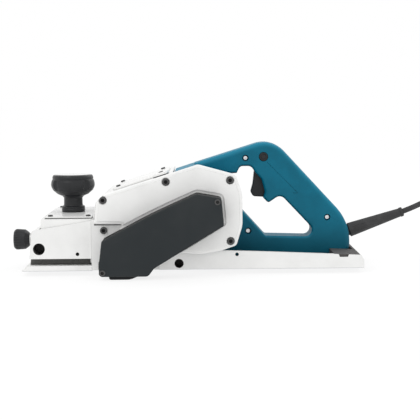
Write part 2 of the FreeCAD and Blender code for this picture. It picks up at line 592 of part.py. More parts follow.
def belt_cover():
    back = PLATE_Y - 0.2
    shell = slab(COVER_OUTLINE, COVER_FACE, back)
    shell = shell.makeFillet(2.6, flat_edges(shell, COVER_FACE))
    corner = rod_y(*COVER_SCREWS[1], COVER_BOSS_R, COVER_FACE, back)
    belly = slab(BELLY_OUTLINE, BELLY_FACE, back)
    belly = belly.makeFillet(2.2, flat_edges(belly, BELLY_FACE))
    outer = join(shell, corner, belly)
    hollow = grown(COVER_OUTLINE, COVER_FACE + SHELL_WALL, back + 1, -SHELL_WALL)
    hollow_belly = grown(BELLY_OUTLINE, BELLY_FACE + 2.4, back + 1, -2.4)
    keep = [rod_y(x, z, COVER_BOSS_R, COVER_FACE, back) for x, z in COVER_SCREWS]
    hollow = cut(join(hollow, hollow_belly), *keep)
    outer = outer.cut(hollow)
    outer = outer.cut(grown(SIDE_OUTLINE, RECESS_FLOOR - 0.1, PLATE_Y + 1, 0.25))
    holes = []
    for x, z in COVER_SCREWS:
        holes += [rod_y(x, z, 2.1, COVER_FACE - 1, PLATE_Y + 1),
                  rod_y(x, z, 4.6, COVER_FACE - 1, COVER_FACE + 2.6)]
    holes.append(rod_x(COVER_SIDE_SCREW[0], COVER_SIDE_SCREW[1], 1.75, -130, -117))
    return cut(outer, *holes)


COVER_SIDE_SCREW = (PLATE_Y - 6.5, 10.5)


def belt_cover_screws():
    one = screw(4.4, 2.6, 2.0, COVER_DEPTH + 5.5)
    placed = [aim(one, (x, COVER_FACE + 2.6, z), (0, -1, 0)) for x, z in COVER_SCREWS]
    side = screw(4.2, 2.8, 1.7, 5.0)
    return placed + [aim(side, (-123.2, *COVER_SIDE_SCREW), (-1, 0, 0))]


# ---------------------------------------------------------------- belt drive
def pulley(x, z, r, bore):
    """Multi-rib pulley: grooves run round it, with a lip at each end."""
    pitch = BELT_WIDTH / BELT_RIBS
    profile = [(bore, PULLEY_Y0), (r + 1.6, PULLEY_Y0), (r + 1.6, PULLEY_Y0 + PULLEY_LIP - 0.4),
               (r, PULLEY_Y0 + PULLEY_LIP)]
    for i in range(BELT_RIBS):
        y = PULLEY_Y0 + PULLEY_LIP + i * pitch
        profile += [(r, y + 0.5), (r - RIB_DEEP, y + 0.5 + 0.7), (r - RIB_DEEP, y + pitch - 1.2),
                    (r, y + pitch - 0.5)]
    profile += [(r, PULLEY_Y1 - PULLEY_LIP), (r + 1.6, PULLEY_Y1 - PULLEY_LIP + 0.4),
                (r + 1.6, PULLEY_Y1), (bore, PULLEY_Y1)]
    return turned(profile, (x, 0, z), (0, 1, 0))


def belt_loop(r_motor, r_drum, y0, y1):
    """Solid inside an open-belt path round both pulley axes."""
    m, d = V(MOTOR_X, 0, MOTOR_Z), V(DRUM_X, 0, DRUM_Z)
    along = m - d
    span, lean = along.Length, math.atan2(along.z, along.x)
    off = math.asin((r_drum - r_motor) / span)

    def at(centre, radius, angle):
        return V(centre.x + radius * math.cos(angle), y0, centre.z + radius * math.sin(angle))

    up, down = lean + math.pi / 2 - off, lean - math.pi / 2 + off
    m0, m1, d1, d0 = at(m, r_motor, up), at(m, r_motor, down), at(d, r_drum, down), at(d, r_drum, up)
    wire = Part.Wire([Part.LineSegment(d0, m0).toShape(),
                      Part.Arc(m0, at(m, r_motor, lean), m1).toShape(),
                      Part.LineSegment(m1, d1).toShape(),
                      Part.Arc(d1, at(d, r_drum, lean + math.pi), d0).toShape()])
    return Part.Face(wire).extrude(V(0, y1 - y0, 0))


def drive_belt():
    gap = 0.25
    y0 = PULLEY_Y0 + PULLEY_LIP + 0.2
    y1 = PULLEY_Y1 - PULLEY_LIP - 0.2

    def band(low, high, a, b):
        outer = belt_loop(MOTOR_PULLEY_R + high, DRUM_PULLEY_R + high, a, b)
        return outer.cut(belt_loop(MOTOR_PULLEY_R + low, DRUM_PULLEY_R + low, a - 1, b + 1))

    pitch = BELT_WIDTH / BELT_RIBS
    ribs = [band(gap - RIB_DEEP + 0.4, gap + 0.1, PULLEY_Y0 + PULLEY_LIP + i * pitch + 1.6,
                 PULLEY_Y0 + PULLEY_LIP + (i + 1) * pitch - 1.6) for i in range(BELT_RIBS)]
    return join(band(gap, gap + BELT_THICK, y0, y1), *ribs)


def bearing(x, z, r_in, r_out, y0, y1):
    """Ball bearing as one ring, its races marked by a groove on each face."""
    body = ring_y(x, z, r_in + RUN, r_out, y0, y1)
    mid, wide = (r_in + r_out) / 2, (r_out - r_in) * 0.22
    for a, b in ((y0 - 1, y0 + 0.7), (y1 - 0.7, y1 + 1)):
        body = body.cut(ring_y(x, z, mid - wide / 2, mid + wide / 2, a, b))
    return body


DRUM_NEAR_BEARING = (-WALL_OUT - 2.5, -WALL_IN)
DRUM_FAR_BEARING = (WALL_IN, WALL_OUT)


def drum_bearing_cap():
    """Pressed disc that closes the far bearing's seat."""
    body = rod_y(DRUM_X, DRUM_Z, DRUM_BEARING_R + 4, WALL_OUT, WALL_OUT + 1.8)
    return body.makeFillet(0.8, flat_edges(body, WALL_OUT + 1.8))


# ---------------------------------------------------------------- cutter
BLADE_ANGLES = (60.0, 240.0)


def around_drum(shape, degrees):
    placed = shape.copy()
    placed.rotate(V(DRUM_X, 0, DRUM_Z), V(0, 1, 0), degrees)
    return placed


def drum_pocket(grow=0.0):
    """Blade slot at the top of the cutter block, open outwards."""
    return slab([(DRUM_X - 7.0 - grow, DRUM_Z + 12 - grow), (DRUM_X - 7.0 - grow, DRUM_Z + 40),
                 (DRUM_X + 3.4 + grow, DRUM_Z + 40), (DRUM_X + 3.4 + grow, DRUM_Z + 12 - grow)],
                -HALF_CUT - 5, HALF_CUT + 5)


def cutter_drum():
    body = rod_y(DRUM_X, DRUM_Z, DRUM_RADIUS, -HALF_CUT + 1, HALF_CUT - 1)
    for angle in BLADE_ANGLES:
        body = body.cut(around_drum(drum_pocket(), angle))
    near = rod_y(DRUM_X, DRUM_Z, DRUM_SHAFT_R, PULLEY_Y0 - 2.0, -HALF_CUT + 1.5)
    far = rod_y(DRUM_X, DRUM_Z, DRUM_SHAFT_R, HALF_CUT - 1.5, WALL_OUT - 0.5)
    return join(body, near, far).cut(rod_y(DRUM_X, DRUM_Z, 3.0, PULLEY_Y0 - 3, PULLEY_Y0 + 6.0))


def blade(angle):
    thick, wide = 3.0, DRUM_RADIUS - 12 + BLADE_PROUD
    x = DRUM_X + 0.2
    body = slab([(x, DRUM_Z + 12.2), (x, DRUM_Z + 12 + wide - 0.6), (x + 0.4, DRUM_Z + 12 + wide - 0.6),
                 (x + thick, DRUM_Z + 12 + wide - 4.0), (x + thick, DRUM_Z + 12.2)],
                -HALF_CUT + 1, HALF_CUT - 1)
    inside = rod_y(DRUM_X, DRUM_Z, CUT_RADIUS - 0.01, -HALF_CUT, HALF_CUT)
    return around_drum(body.common(inside), angle)


def blade_clamp(angle):
    body = slab([(DRUM_X - 6.9, DRUM_Z + 12.2), (DRUM_X - 6.9, DRUM_Z + 40), (DRUM_X + 0.1, DRUM_Z + 40),
                 (DRUM_X + 0.1, DRUM_Z + 12.2)], -HALF_CUT + 1, HALF_CUT - 1)
    inside = rod_y(DRUM_X, DRUM_Z, DRUM_RADIUS - 0.2, -HALF_CUT, HALF_CUT)
    body = body.common(inside)
    holes = [aim(Part.makeCylinder(3.6, 20, V(0, 0, -3.4)), (DRUM_X - 3.4, y, DRUM_Z + DRUM_RADIUS), (0, 0, 1))
             for y in CLAMP_SCREWS]
    return around_drum(cut(body, *holes), angle)


CLAMP_SCREWS = [i * HALF_CUT * 0.28 for i in range(-3, 4)]


def clamp_screws():
    one = screw(3.4, 2.6, 1.5, 0.3)
    rows = []
    for angle in BLADE_ANGLES:
        rows += [around_drum(aim(one, (DRUM_X - 3.4, y, DRUM_Z + DRUM_RADIUS - 3.05), (0, 0, 1)), angle)
                 for y in CLAMP_SCREWS]
    return rows


def shaft_bolt(x, z, r, y):
    """Pan screw that holds a pulley on its shaft; it closes the pulley's outer face."""
    return aim(screw(r, 2.4, 3.0, 8.0), (x, y, z), (0, -1, 0))


# ---------------------------------------------------------------- motor
def motor_housing():
    body = slab(BARREL_OUTLINE, PLATE_Y + 0.2, MOTOR_END)
    bore = rod_y(MOTOR_X, MOTOR_Z, CORE_R + SEAT, -66.0, MOTOR_END + 1)
    fan_room = rod_y(MOTOR_X, MOTOR_Z, FAN_R + 2.0, PLATE_Y - 1, -66.0)
    body = body.cut(Part.makeCompound([bore, fan_room]))
    holes = [rod_y(x, z, 2.6, PLATE_Y - 1, PLATE_Y + 16) for x, z in SIDE_SCREWS[2:]]
    holes += [rod_y(x, z, 2.1, MOTOR_END - 14, MOTOR_END + 1) for x, z in end_screw_points()]
    for z0, z1 in ((MOTOR_Z + ARM_R, MOTOR_Z + 90), (MOTOR_Z - 90, MOTOR_Z - ARM_R)):
        holes.append(rod_z(MOTOR_X, BRUSH_Y, 7.6, z0, z1))
    holes += exhaust_slots()
    return cut(body, *holes)


def exhaust_slots():
    """Vents through the housing's underside at the fan, out over the rear base."""
    return [box(MOTOR_X - 24 + i * 9, MOTOR_X - 19 + i * 9, PLATE_Y + 12, PLATE_Y + 27, 20, MOTOR_Z - 30)
            for i in range(6)]


BRUSH_Y = GRIP_HALF + 10.0  # the brush caps stand clear of the handle


def end_screw_points():
    r = CORE_R + 7.5
    return [(MOTOR_X + r * math.cos(a), MOTOR_Z + r * math.sin(a))
            for a in [math.radians(d) for d in (55, 125, 235, 305)]]


def motor_end_cover():
    """Cap over the commutator end: a dished disc with intake slots and the far bearing's seat."""
    y0, y1 = MOTOR_END + 0.2, MOTOR_END + END_COVER
    body = rod_y(MOTOR_X, MOTOR_Z, END_R, y0, y1)
    body = body.makeFillet(9.0, flat_edges(body, y1))
    ears = [rod_y(x, z, 6.0, y0, y0 + 7.8) for x, z in end_screw_points()]
    body = join(body, *ears)
    hollow = rod_y(MOTOR_X, MOTOR_Z, CORE_R, y0 - 1, y1 - SHELL_WALL)
    hub = rod_y(MOTOR_X, MOTOR_Z, FAR_BEARING_R + 4, y0 + 4, y1)
    hollow = hollow.cut(hub)
    seat = rod_y(MOTOR_X, MOTOR_Z, FAR_BEARING_R + SEAT, y0, y0 + 14)
    shaft_room = rod_y(MOTOR_X, MOTOR_Z, FAR_SHAFT_R + 2, y0, y0 + 18)
    slots = []
    for i in range(24):
        slot = box(MOTOR_X + 20, MOTOR_X + 31, y1 - 12, y1 + 1, MOTOR_Z - 1.3, MOTOR_Z + 1.3)
        slot.rotate(V(MOTOR_X, 0, MOTOR_Z), V(0, 1, 0), i * 15)
        slots.append(slot)
    screws = []
    for x, z in end_screw_points():
        screws += [rod_y(x, z, 2.1, y0 - 1, y1 + 1), rod_y(x, z, 4.0, y0 + 7.8, y1 + 1)]
    return cut(body, hollow, seat, shaft_room, *slots, *screws)


def motor_end_screws():
    one = screw(3.7, 2.6, 2.0, 20.0)
    return [aim(one, (x, MOTOR_END + 8.0, z), (0, 1, 0)) for x, z in end_screw_points()]


def stator():
    """Laminated field core: a ring with two flats inside for its coils."""
    y0, y1 = -58.0, 6.0
    core = ring_y(MOTOR_X, MOTOR_Z, ARM_R + 1.0, CORE_R - SEAT, y0, y1)
    pockets = []
    for side in (-1, 1):
        x0, x1 = sorted((MOTOR_X + side * (ARM_R - 2), MOTOR_X + side * (CORE_R - 5)))
        pockets.append(box(x0, x1, y0 - 1, y1 + 1, MOTOR_Z - 17, MOTOR_Z + 17))
    return cut(core, *pockets)


def field_coils():
    """Copper coils that fill the core's pockets and stand out at both ends."""
    coils = []
    for side in (-1, 1):
        x0, x1 = sorted((MOTOR_X + side * (ARM_R + 1.5), MOTOR_X + side * (CORE_R - 5.4)))
        coil = box(x0, x1, -65.0, 13.0, MOTOR_Z - 16.5, MOTOR_Z + 16.5)
        coils.append(coil.makeFillet(2.5, [e for e in coil.Edges if e.BoundBox.YLength > 20]))
    return coils


def motor_shaft():
    near = rod_y(MOTOR_X, MOTOR_Z, MOTOR_SHAFT_R, PULLEY_Y0 - 2.0, 14.0)
    far = rod_y(MOTOR_X, MOTOR_Z, FAR_SHAFT_R, 13.0, MOTOR_END + 16.0)
    return join(near, far).cut(rod_y(MOTOR_X, MOTOR_Z, 3.0, PULLEY_Y0 - 3, PULLEY_Y0 + 6.0))


def armature():
    core = ring_y(MOTOR_X, MOTOR_Z, MOTOR_SHAFT_R, ARM_R, -56.0, 4.0)
    slots = []
    for i in range(16):
        slot = box(MOTOR_X + ARM_R - 6, MOTOR_X + ARM_R + 1, -57, 5, MOTOR_Z - 1.0, MOTOR_Z + 1.0)
        slot.rotate(V(MOTOR_X, 0, MOTOR_Z), V(0, 1, 0), i * 22.5)
        slots.append(slot)
    return cut(core, *slots)


def fan():
    """Centrifugal fan on the pulley side of the armature."""
    y0, y1 = -84.0, -69.0
    back = ring_y(MOTOR_X, MOTOR_Z, MOTOR_SHAFT_R, FAN_R - 0.8, y1 - 2, y1)
    hub = ring_y(MOTOR_X, MOTOR_Z, MOTOR_SHAFT_R, 13.0, y0, y1)
    blades = []
    for i in range(18):
        vane = box(MOTOR_X + 17, MOTOR_X + FAN_R - 1, y0 + 2, y1 - 1, MOTOR_Z - 0.8, MOTOR_Z + 0.8)
        vane.rotate(V(MOTOR_X + 17, 0, MOTOR_Z), V(0, 1, 0), 25)
        vane.rotate(V(MOTOR_X, 0, MOTOR_Z), V(0, 1, 0), i * 20)
        blades.append(vane)
    body = join(back, hub, *blades)
    return body.common(rod_y(MOTOR_X, MOTOR_Z, FAN_R, y0, y1))


def commutator():
    body = ring_y(MOTOR_X, MOTOR_Z, FAR_SHAFT_R, 14.0, 22.0, 42.0)
    cuts = []
    for i in range(24):
        slot = box(MOTOR_X + 12.6, MOTOR_X + 15, 21, 43, MOTOR_Z - 0.3, MOTOR_Z + 0.3)
        slot.rotate(V(MOTOR_X, 0, MOTOR_Z), V(0, 1, 0), i * 15)
        cuts.append(slot)
    return cut(body, *cuts)


def brushes():
    return [box(MOTOR_X - 3.5, MOTOR_X + 3.5, BRUSH_Y - 3, BRUSH_Y + 3, *sorted((MOTOR_Z + s * 14.4, MOTOR_Z + s * 28)))
            for s in (-1, 1)]


def brush_holders():
    """Brass-lined tubes that guide the brushes, each closed by a slotted cap."""
    tubes = []
    for side, reach in ((1, BARREL_TOP), (-1, BARREL_LOW)):
        tube = rod_z(MOTOR_X, BRUSH_Y, 7.4, *sorted((MOTOR_Z + side * 28.2, MOTOR_Z + side * reach)))
        slot = box(MOTOR_X - 8, MOTOR_X + 8, BRUSH_Y - 0.9, BRUSH_Y + 0.9,
                   *sorted((MOTOR_Z + side * (reach - 1.4), MOTOR_Z + side * (reach + 1))))
        tubes.append(tube.cut(slot))
    return tubes


BARREL_TOP = 66.4
BARREL_LOW = 55.3


# ---------------------------------------------------------------- handle
HANDLE_OUTLINE = [(15.0, 120.0, 0), (15.0, 153.2, 0), (133.8, 190.2, 42), (252.8, 61.0, 78),
                  (252.8, HANDLE_FOOT, 19), (58.0, HANDLE_FOOT, 0), (58.0, 60.0, 0)]
GRIP_HOLE = [(66.0, 104.0, 0), (66.0, 137.0, 0), (79.5, 137.5, 1), (84.5, 148.0, 7), (101.5, 148.0, 9),
             (109.0, 136.5, 3), (117.5, 127.5, 9), (122.6, 108.0, 9), (119.8, 99.3, 1.2),
             (127.5, 91.2, 4), (146.5, 104.0, 10), (207.8, 38.6, 10), (123.0, 41.0, 5)]
HANDLE_RECESS_R = 5.0
HANDLE_SCREWS = [(92.9, 160.4), (217.8, 68.6), (96.4, 48.6)]
BUTTON_AT = (120.4, 162.2)
TRIGGER_PIVOT = (113.0, 143.0)


def hole_rim(body, y):
    """Edges round the finger opening, in the plane Y = y."""
    reach = [(p[0], p[1]) for p in GRIP_HOLE]
    inside = [min(c) - 0.5 for c in zip(*reach)] + [max(c) + 0.5 for c in zip(*reach)]
    return [e for e in flat_edges(body, y)
            if e.BoundBox.XMin > inside[0] and e.BoundBox.XMax < inside[2]
            and e.BoundBox.ZMin > inside[1] and e.BoundBox.ZMax < inside[3]
            and e.CenterOfMass.x > 128]


def handle_inside(y0, y1, wall):
    """The handle's outline less its grip hole, each drawn in by a wall."""
    outer = grown(HANDLE_OUTLINE, y0, y1, -wall)
    return outer.cut(grown(GRIP_HOLE, y0 - 1, y1 + 1, wall))


def handle_shell(side):
    """One moulded half of the closed handle, hollow, with screw bosses."""
    y_out, y_in = side * GRIP_HALF, side * PARTING
    body = slab(HANDLE_OUTLINE, *sorted((y_out, y_in)))
    rim = [e for e in flat_edges(body, y_out) if e.CenterOfMass.z > 125 or e.CenterOfMass.x > 160]
    body = body.makeFillet(GRIP_ROUND, rim)
    opening = slab(GRIP_HOLE, *sorted((y_out + side, y_in - side)))
    body = body.cut(opening)
    body = body.makeFillet(HOLE_ROUND, hole_rim(body, y_out))
    barrel = grown(BARREL_OUTLINE, -GRIP_HALF - 1, GRIP_HALF + 1, SLIP)
    inner_face = side * (GRIP_HALF - SHELL_WALL)
    hollow = handle_inside(*sorted((inner_face - side * SHELL_WALL, -side * 1.0)), SHELL_WALL)
    hollow = hollow.fuse(handle_inside(*sorted((inner_face, -side * 1.0)), 2 * SHELL_WALL))
    bosses = [rod_y(x, z, 6.2, *sorted((y_out, y_in))) for x, z in HANDLE_SCREWS]
    hollow = cut(hollow, *bosses)
    trigger_slot = slab([(100, 139), (108, 143), (132, 118), (132, 96.5), (118, 96.5)],
                        *sorted((side * 8.8, -side)))
    trigger_slot = trigger_slot.common(grown(TRIGGER_OUTLINE, -9, 9, 1.2))
    near_holes = []
    for x, z in HANDLE_SCREWS:
        near_holes.append(rod_y(x, z, 2.15, -15.0 if side < 0 else -1, 1 if side < 0 else 16.0))
        if side < 0:
            near_holes.append(rod_y(x, z, HANDLE_RECESS_R, -GRIP_HALF - 1, -15.0))
    holes = [barrel, hollow, trigger_slot, trigger_sweep(), *near_holes, cord_bore()]
    if side < 0:
        holes.append(rod_y(*BUTTON_AT, BUTTON_R + 0.5, -GRIP_HALF - 1, -GRIP_HALF + SHELL_WALL + 1))
        holes += grip_lines()
    body = cut(body, *holes)
    return max(body.Solids, key=lambda s: s.Volume)


def grip_lines():
    """Shallow moulded line down the near shell, with a short tick at its foot."""
    start, end = V(*GRIP_LINE[0]), V(*GRIP_LINE[1])
    along = end - start
    line = box(0, along.Length, -0.45, 0.45, -0.6, 0.6)
    line.rotate(V(0, 0, 0), V(0, 0, 1), math.degrees(math.atan2(along.y, along.x)))
    line.translate(start)
    tick = box(end.x - 7, end.x, end.y - 0.45, end.y + 0.45, -0.6, 0.6)
    placed = []
    for shape in (line, tick):
        shape.rotate(V(0, 0, 0), V(1, 0, 0), 90)
        shape.translate(V(0, -GRIP_HALF, 0))
        placed.append(shape)
    return placed


GRIP_LINE = ((126.0, 153.5, 0), (172.8, 106.3, 0))


def guard_line(along):
    """Point on the cord guard's axis."""
    a = math.radians(GUARD_DEG)
    return (GUARD_ROOT[0] + along * math.cos(a), 0.0, GUARD_ROOT[1] + along * math.sin(a))


def guard_aim(shape, along):
    a = math.radians(GUARD_DEG)
    return aim(shape, guard_line(along), (math.cos(a), 0, math.sin(a)))


def cord_bore():
    bore = Part.makeCylinder(8.4, 30, V(0, 0, -22))
    groove = Part.makeCylinder(10.6, 3.4, V(0, 0, -14))
    return guard_aim(bore.fuse(groove), 0)


def cord_guard():
    """Tapered rubber boot: a collar held in the shells, a cone, and a bead at its tip."""
    profile = [(CORD_R + 0.15, -16), (8.1, -16), (8.1, -13.7), (10.3, -13.7), (10.3, -10.9), (8.1, -10.9),
               (8.1, 4.0), (10.9, 5.5), (10.9, 7.0), (6.6, GUARD_LONG - 5), (7.4, GUARD_LONG - 4),
               (7.4, GUARD_LONG - 1), (6.6, GUARD_LONG), (CORD_R + 0.15, GUARD_LONG)]
    body = turned(profile, (0, 0, 0), (0, 0, 1))
    flutes = []
    for i in range(8):
        a = math.radians(i * 45 + 22.5)
        start, end = V(11.2, 0, 10), V(7.5, 0, GUARD_LONG - 10)
        flute = Part.makeCylinder(0.9, (end - start).Length, start, end - start)
        flute.rotate(V(0, 0, 0), V(0, 0, 1), math.degrees(a))
        flutes.append(flute)
    return guard_aim(cut(body, *flutes), 0)


TRIGGER_OUTLINE = [(106.5, 139.0, 3), (104.4, 120.0, 14), (100.9, 107.5, 5), (105.0, 100.6, 5),
                   (121.0, 99.6, 3), (124.5, 112.0, 8), (118.5, 131.0, 6), (118.0, 148.0, 4),
                   (108.5, 148.0, 4)]
TRIGGER_HALF = 8.0


def trigger():
    body = slab(TRIGGER_OUTLINE, -TRIGGER_HALF, TRIGGER_HALF)
    body = body.makeFillet(1.6, flat_edges(body, -TRIGGER_HALF) + flat_edges(body, TRIGGER_HALF))
    return body.cut(rod_y(*TRIGGER_PIVOT, 2.0 + 0.06, -TRIGGER_HALF - 1, TRIGGER_HALF + 1))


def trigger_sweep():
    """Room for the trigger over its travel."""
    swept = []
    for step in range(0, 6):
        placed = grown(TRIGGER_OUTLINE, -TRIGGER_HALF - 0.5, TRIGGER_HALF + 0.5, 0.5)
        placed.rotate(V(TRIGGER_PIVOT[0], 0, TRIGGER_PIVOT[1]), V(0, -1, 0), step * TRIGGER_DEG / 5)
        swept.append(placed)
    return swept[0].multiFuse(swept[1:])


TRIGGER_DEG = 8.0


def trigger_pin():
    return rod_y(*TRIGGER_PIVOT, 2.0, -TRIGGER_HALF - 2.0, TRIGGER_HALF + 2.0)


def switch_body():
    body = box(138.0, 160.0, -12.0, 12.0, 110.0, 139.0)
    body.rotate(V(149, 0, 125), V(0, 1, 0), -43)
    return body.makeFillet(1.5, body.Edges)


def lock_button():
    body = rod_y(*BUTTON_AT, BUTTON_R, -GRIP_HALF - 1.0, -GRIP_HALF + 9.0)
    body = body.makeFillet(1.0, flat_edges(body, -GRIP_HALF - 1.0))
    return body.cut(ring_y(*BUTTON_AT, BUTTON_R - 3.0, BUTTON_R - 2.2, -GRIP_HALF - 2, -GRIP_HALF - 0.4))


def handle_screws():
    one = screw(3.4, 2.6, 2.1, 27.0)
    return [aim(one, (x, -15.0, z), (0, -1, 0)) for x, z in HANDLE_SCREWS]


# ---------------------------------------------------------------- depth adjustment
def depth_knob():
    x0, x1 = KNOB_FRONT, KNOB_FRONT + KNOB_LONG
    profile = [(SCREW_R, 0.6), (8.0, 0.6), (9.0, 0), (13.6, 0.0), (KNOB_R - 0.2, 2.6), (KNOB_R, 5.0),
               (KNOB_R - 0.8, 17.0), (11.5, KNOB_LONG - 2), (9.0, KNOB_LONG), (SCREW_R, KNOB_LONG)]
    body = turned(profile, (x0, 0, SCREW_Z), (1, 0, 0))
    flutes = []
    for i in range(KNOB_FLUTES):
        a = 2 * math.pi * i / KNOB_FLUTES
        r = KNOB_R + 0.5
        flutes.append(rod_x(r * math.cos(a), SCREW_Z + r * math.sin(a), 1.3, x0 - 1, x0 + 18.5))
    return cut(body, *flutes)


def depth_screw():
    shaft = rod_x(0, SCREW_Z, SCREW_R, KNOB_FRONT + 0.8, -150.0)
    collar = rod_x(0, SCREW_Z, 7.0, -200.5, -197.2)
    sleeve = rod_x(0, SCREW_Z, 6.4, KNOB_FRONT + KNOB_LONG + 0.1, -204.0)
    hub = rod_x(0, SCREW_Z, 9.4, KNOB_FRONT + KNOB_LONG + 0.1, KNOB_FRONT + KNOB_LONG + 3.4)
    return join(shaft, collar, sleeve, hub)


def depth_clip():
    return rod_x(0, SCREW_Z, 7.0, -188.8, -186.6).cut(rod_x(0, SCREW_Z, SCREW_R, -190, -185))


def depth_nut():
    body = box(-176.0, -165.0, -8, 8, SCREW_Z - 9, SCREW_Z + 9)
    return body.cut(rod_x(0, SCREW_Z, SCREW_R + RUN + 0.02, -180, -160))


# ---------------------------------------------------------------- cord
COIL_MEAN_R = 11.0 * CORD_R
COIL_HALF = 4.0 * CORD_R
COIL_CENTRE = (556.0, COIL_MEAN_R + 3 * CORD_R)
ROUTE = [(337.1, 0, 74.3), (353, 0, 80.4), (370, 0, 88.6), (391, 0, 94.5), (413, 0, 91), (432, 0, 78),
         (444, 0, 58), (455, 0, 37.5), (469, 0, 18.5), (487, 0, 4.4), (508, 0, -2.2), (530, 0, -3.2)]
PLUG_TAIL_X = COIL_CENTRE[0] - 62.0
PLUG_Y = COIL_CENTRE[1] + COIL_MEAN_R + 3 * CORD_R
PLUG_Z = FLOOR_Z + 14.2
PLUG_LONG = 57.0
PIN_R = 2.4
PIN_APART = 9.3


def route_tube(points, radius):
    """Round tube along straight runs joined by tangent arcs as large as the runs allow."""
    points = [V(*p) for p in points]
    edges, start = [], points[0]
    for i in range(1, len(points) - 1):
        back, on = points[i - 1] - points[i], points[i + 1] - points[i]
        reach = 0.45 * min(back.Length, on.Length)
        turn = math.pi - back.getAngle(on)
        a, b = points[i] + V(back).normalize() * reach, points[i] + V(on).normalize() * reach
        bend = reach / math.tan(turn / 2)
        middle = V(back).normalize() + V(on).normalize()
        mid = points[i] + middle.normalize() * (bend / math.cos(turn / 2) - bend)
        edges += [Part.LineSegment(start, a).toShape(), Part.Arc(a, mid, b).toShape()]
        print(f"   bend at {tuple(round(c) for c in points[i])}: radius {bend:.0f}, run {on.Length:.0f}")
        start = b
    edges.append(Part.LineSegment(start, points[-1]).toShape())
    path = Part.Wire(edges)
    ring = Part.Wire(Part.makeCircle(radius, points[0], points[1] - points[0]))
    tube = path.makePipeShell([ring], True, False)
    print(f"   tube length {path.Length:.0f}, volume / section {tube.Volume / math.pi / radius ** 2:.0f}")
    return tube


def cord_in_guard():
    """The stretch of cord that the guard surrounds, up to its tip."""
    return guard_aim(Part.makeCylinder(CORD_R, GUARD_LONG + 22.0, V(0, 0, -22.0)), 0)


def cord_coil():
    x, y = COIL_CENTRE
    high = 4 * CORD_R
    profile = [(COIL_MEAN_R - COIL_HALF, 0.6), (COIL_MEAN_R - COIL_HALF + 1, 0.0),
               (COIL_MEAN_R + COIL_HALF - 1, 0.0), (COIL_MEAN_R + COIL_HALF, 0.6),
               (COIL_MEAN_R + COIL_HALF, high - 3), (COIL_MEAN_R + COIL_HALF - 3, high),
               (COIL_MEAN_R - COIL_HALF + 3, high), (COIL_MEAN_R - COIL_HALF, high - 3)]
    return turned(profile, (x, y, FLOOR_Z), (0, 0, 1))


def cord_tail():
    """Last straight stretch, from the coil's upper turn to the plug."""
    return rod_x(PLUG_Y, PLUG_Z, CORD_R, PLUG_TAIL_X, COIL_CENTRE[0])


def plug_body():
    """Two-pin moulded plug lying on its flat side."""
    x = PLUG_TAIL_X
    tail = turned([(0, 0), (6.2, 0), (8.0, 24), (0, 24)], (x, PLUG_Y, PLUG_Z), (-1, 0, 0))
    grip = turned([(0, 20), (9.0, 20), (17.5, 34), (18.5, 52), (18.5, PLUG_LONG), (0, PLUG_LONG)],
                  (x, PLUG_Y, PLUG_Z), (-1, 0, 0))
    grip = grip.common(box(x - 60, x, PLUG_Y - 20, PLUG_Y + 20, PLUG_Z - 14.0, PLUG_Z + 14.0))
    pins = [rod_x(PLUG_Y + side * PIN_APART, PLUG_Z, PIN_R, x - 60, x - 48) for side in (-1, 1)]
    return cut(tail.fuse(grip).removeSplitter(), *pins)


def plug_pins():
    pins = []
    x = PLUG_TAIL_X - PLUG_LONG
    for side in (-1, 1):
        pin = rod_x(PLUG_Y + side * PIN_APART, PLUG_Z, PIN_R, x - 19, x + 9)
        pins.append(pin.makeFillet(1.6, [e for e in pin.Edges if e.BoundBox.XMax < x - 18.9]))
    return pins


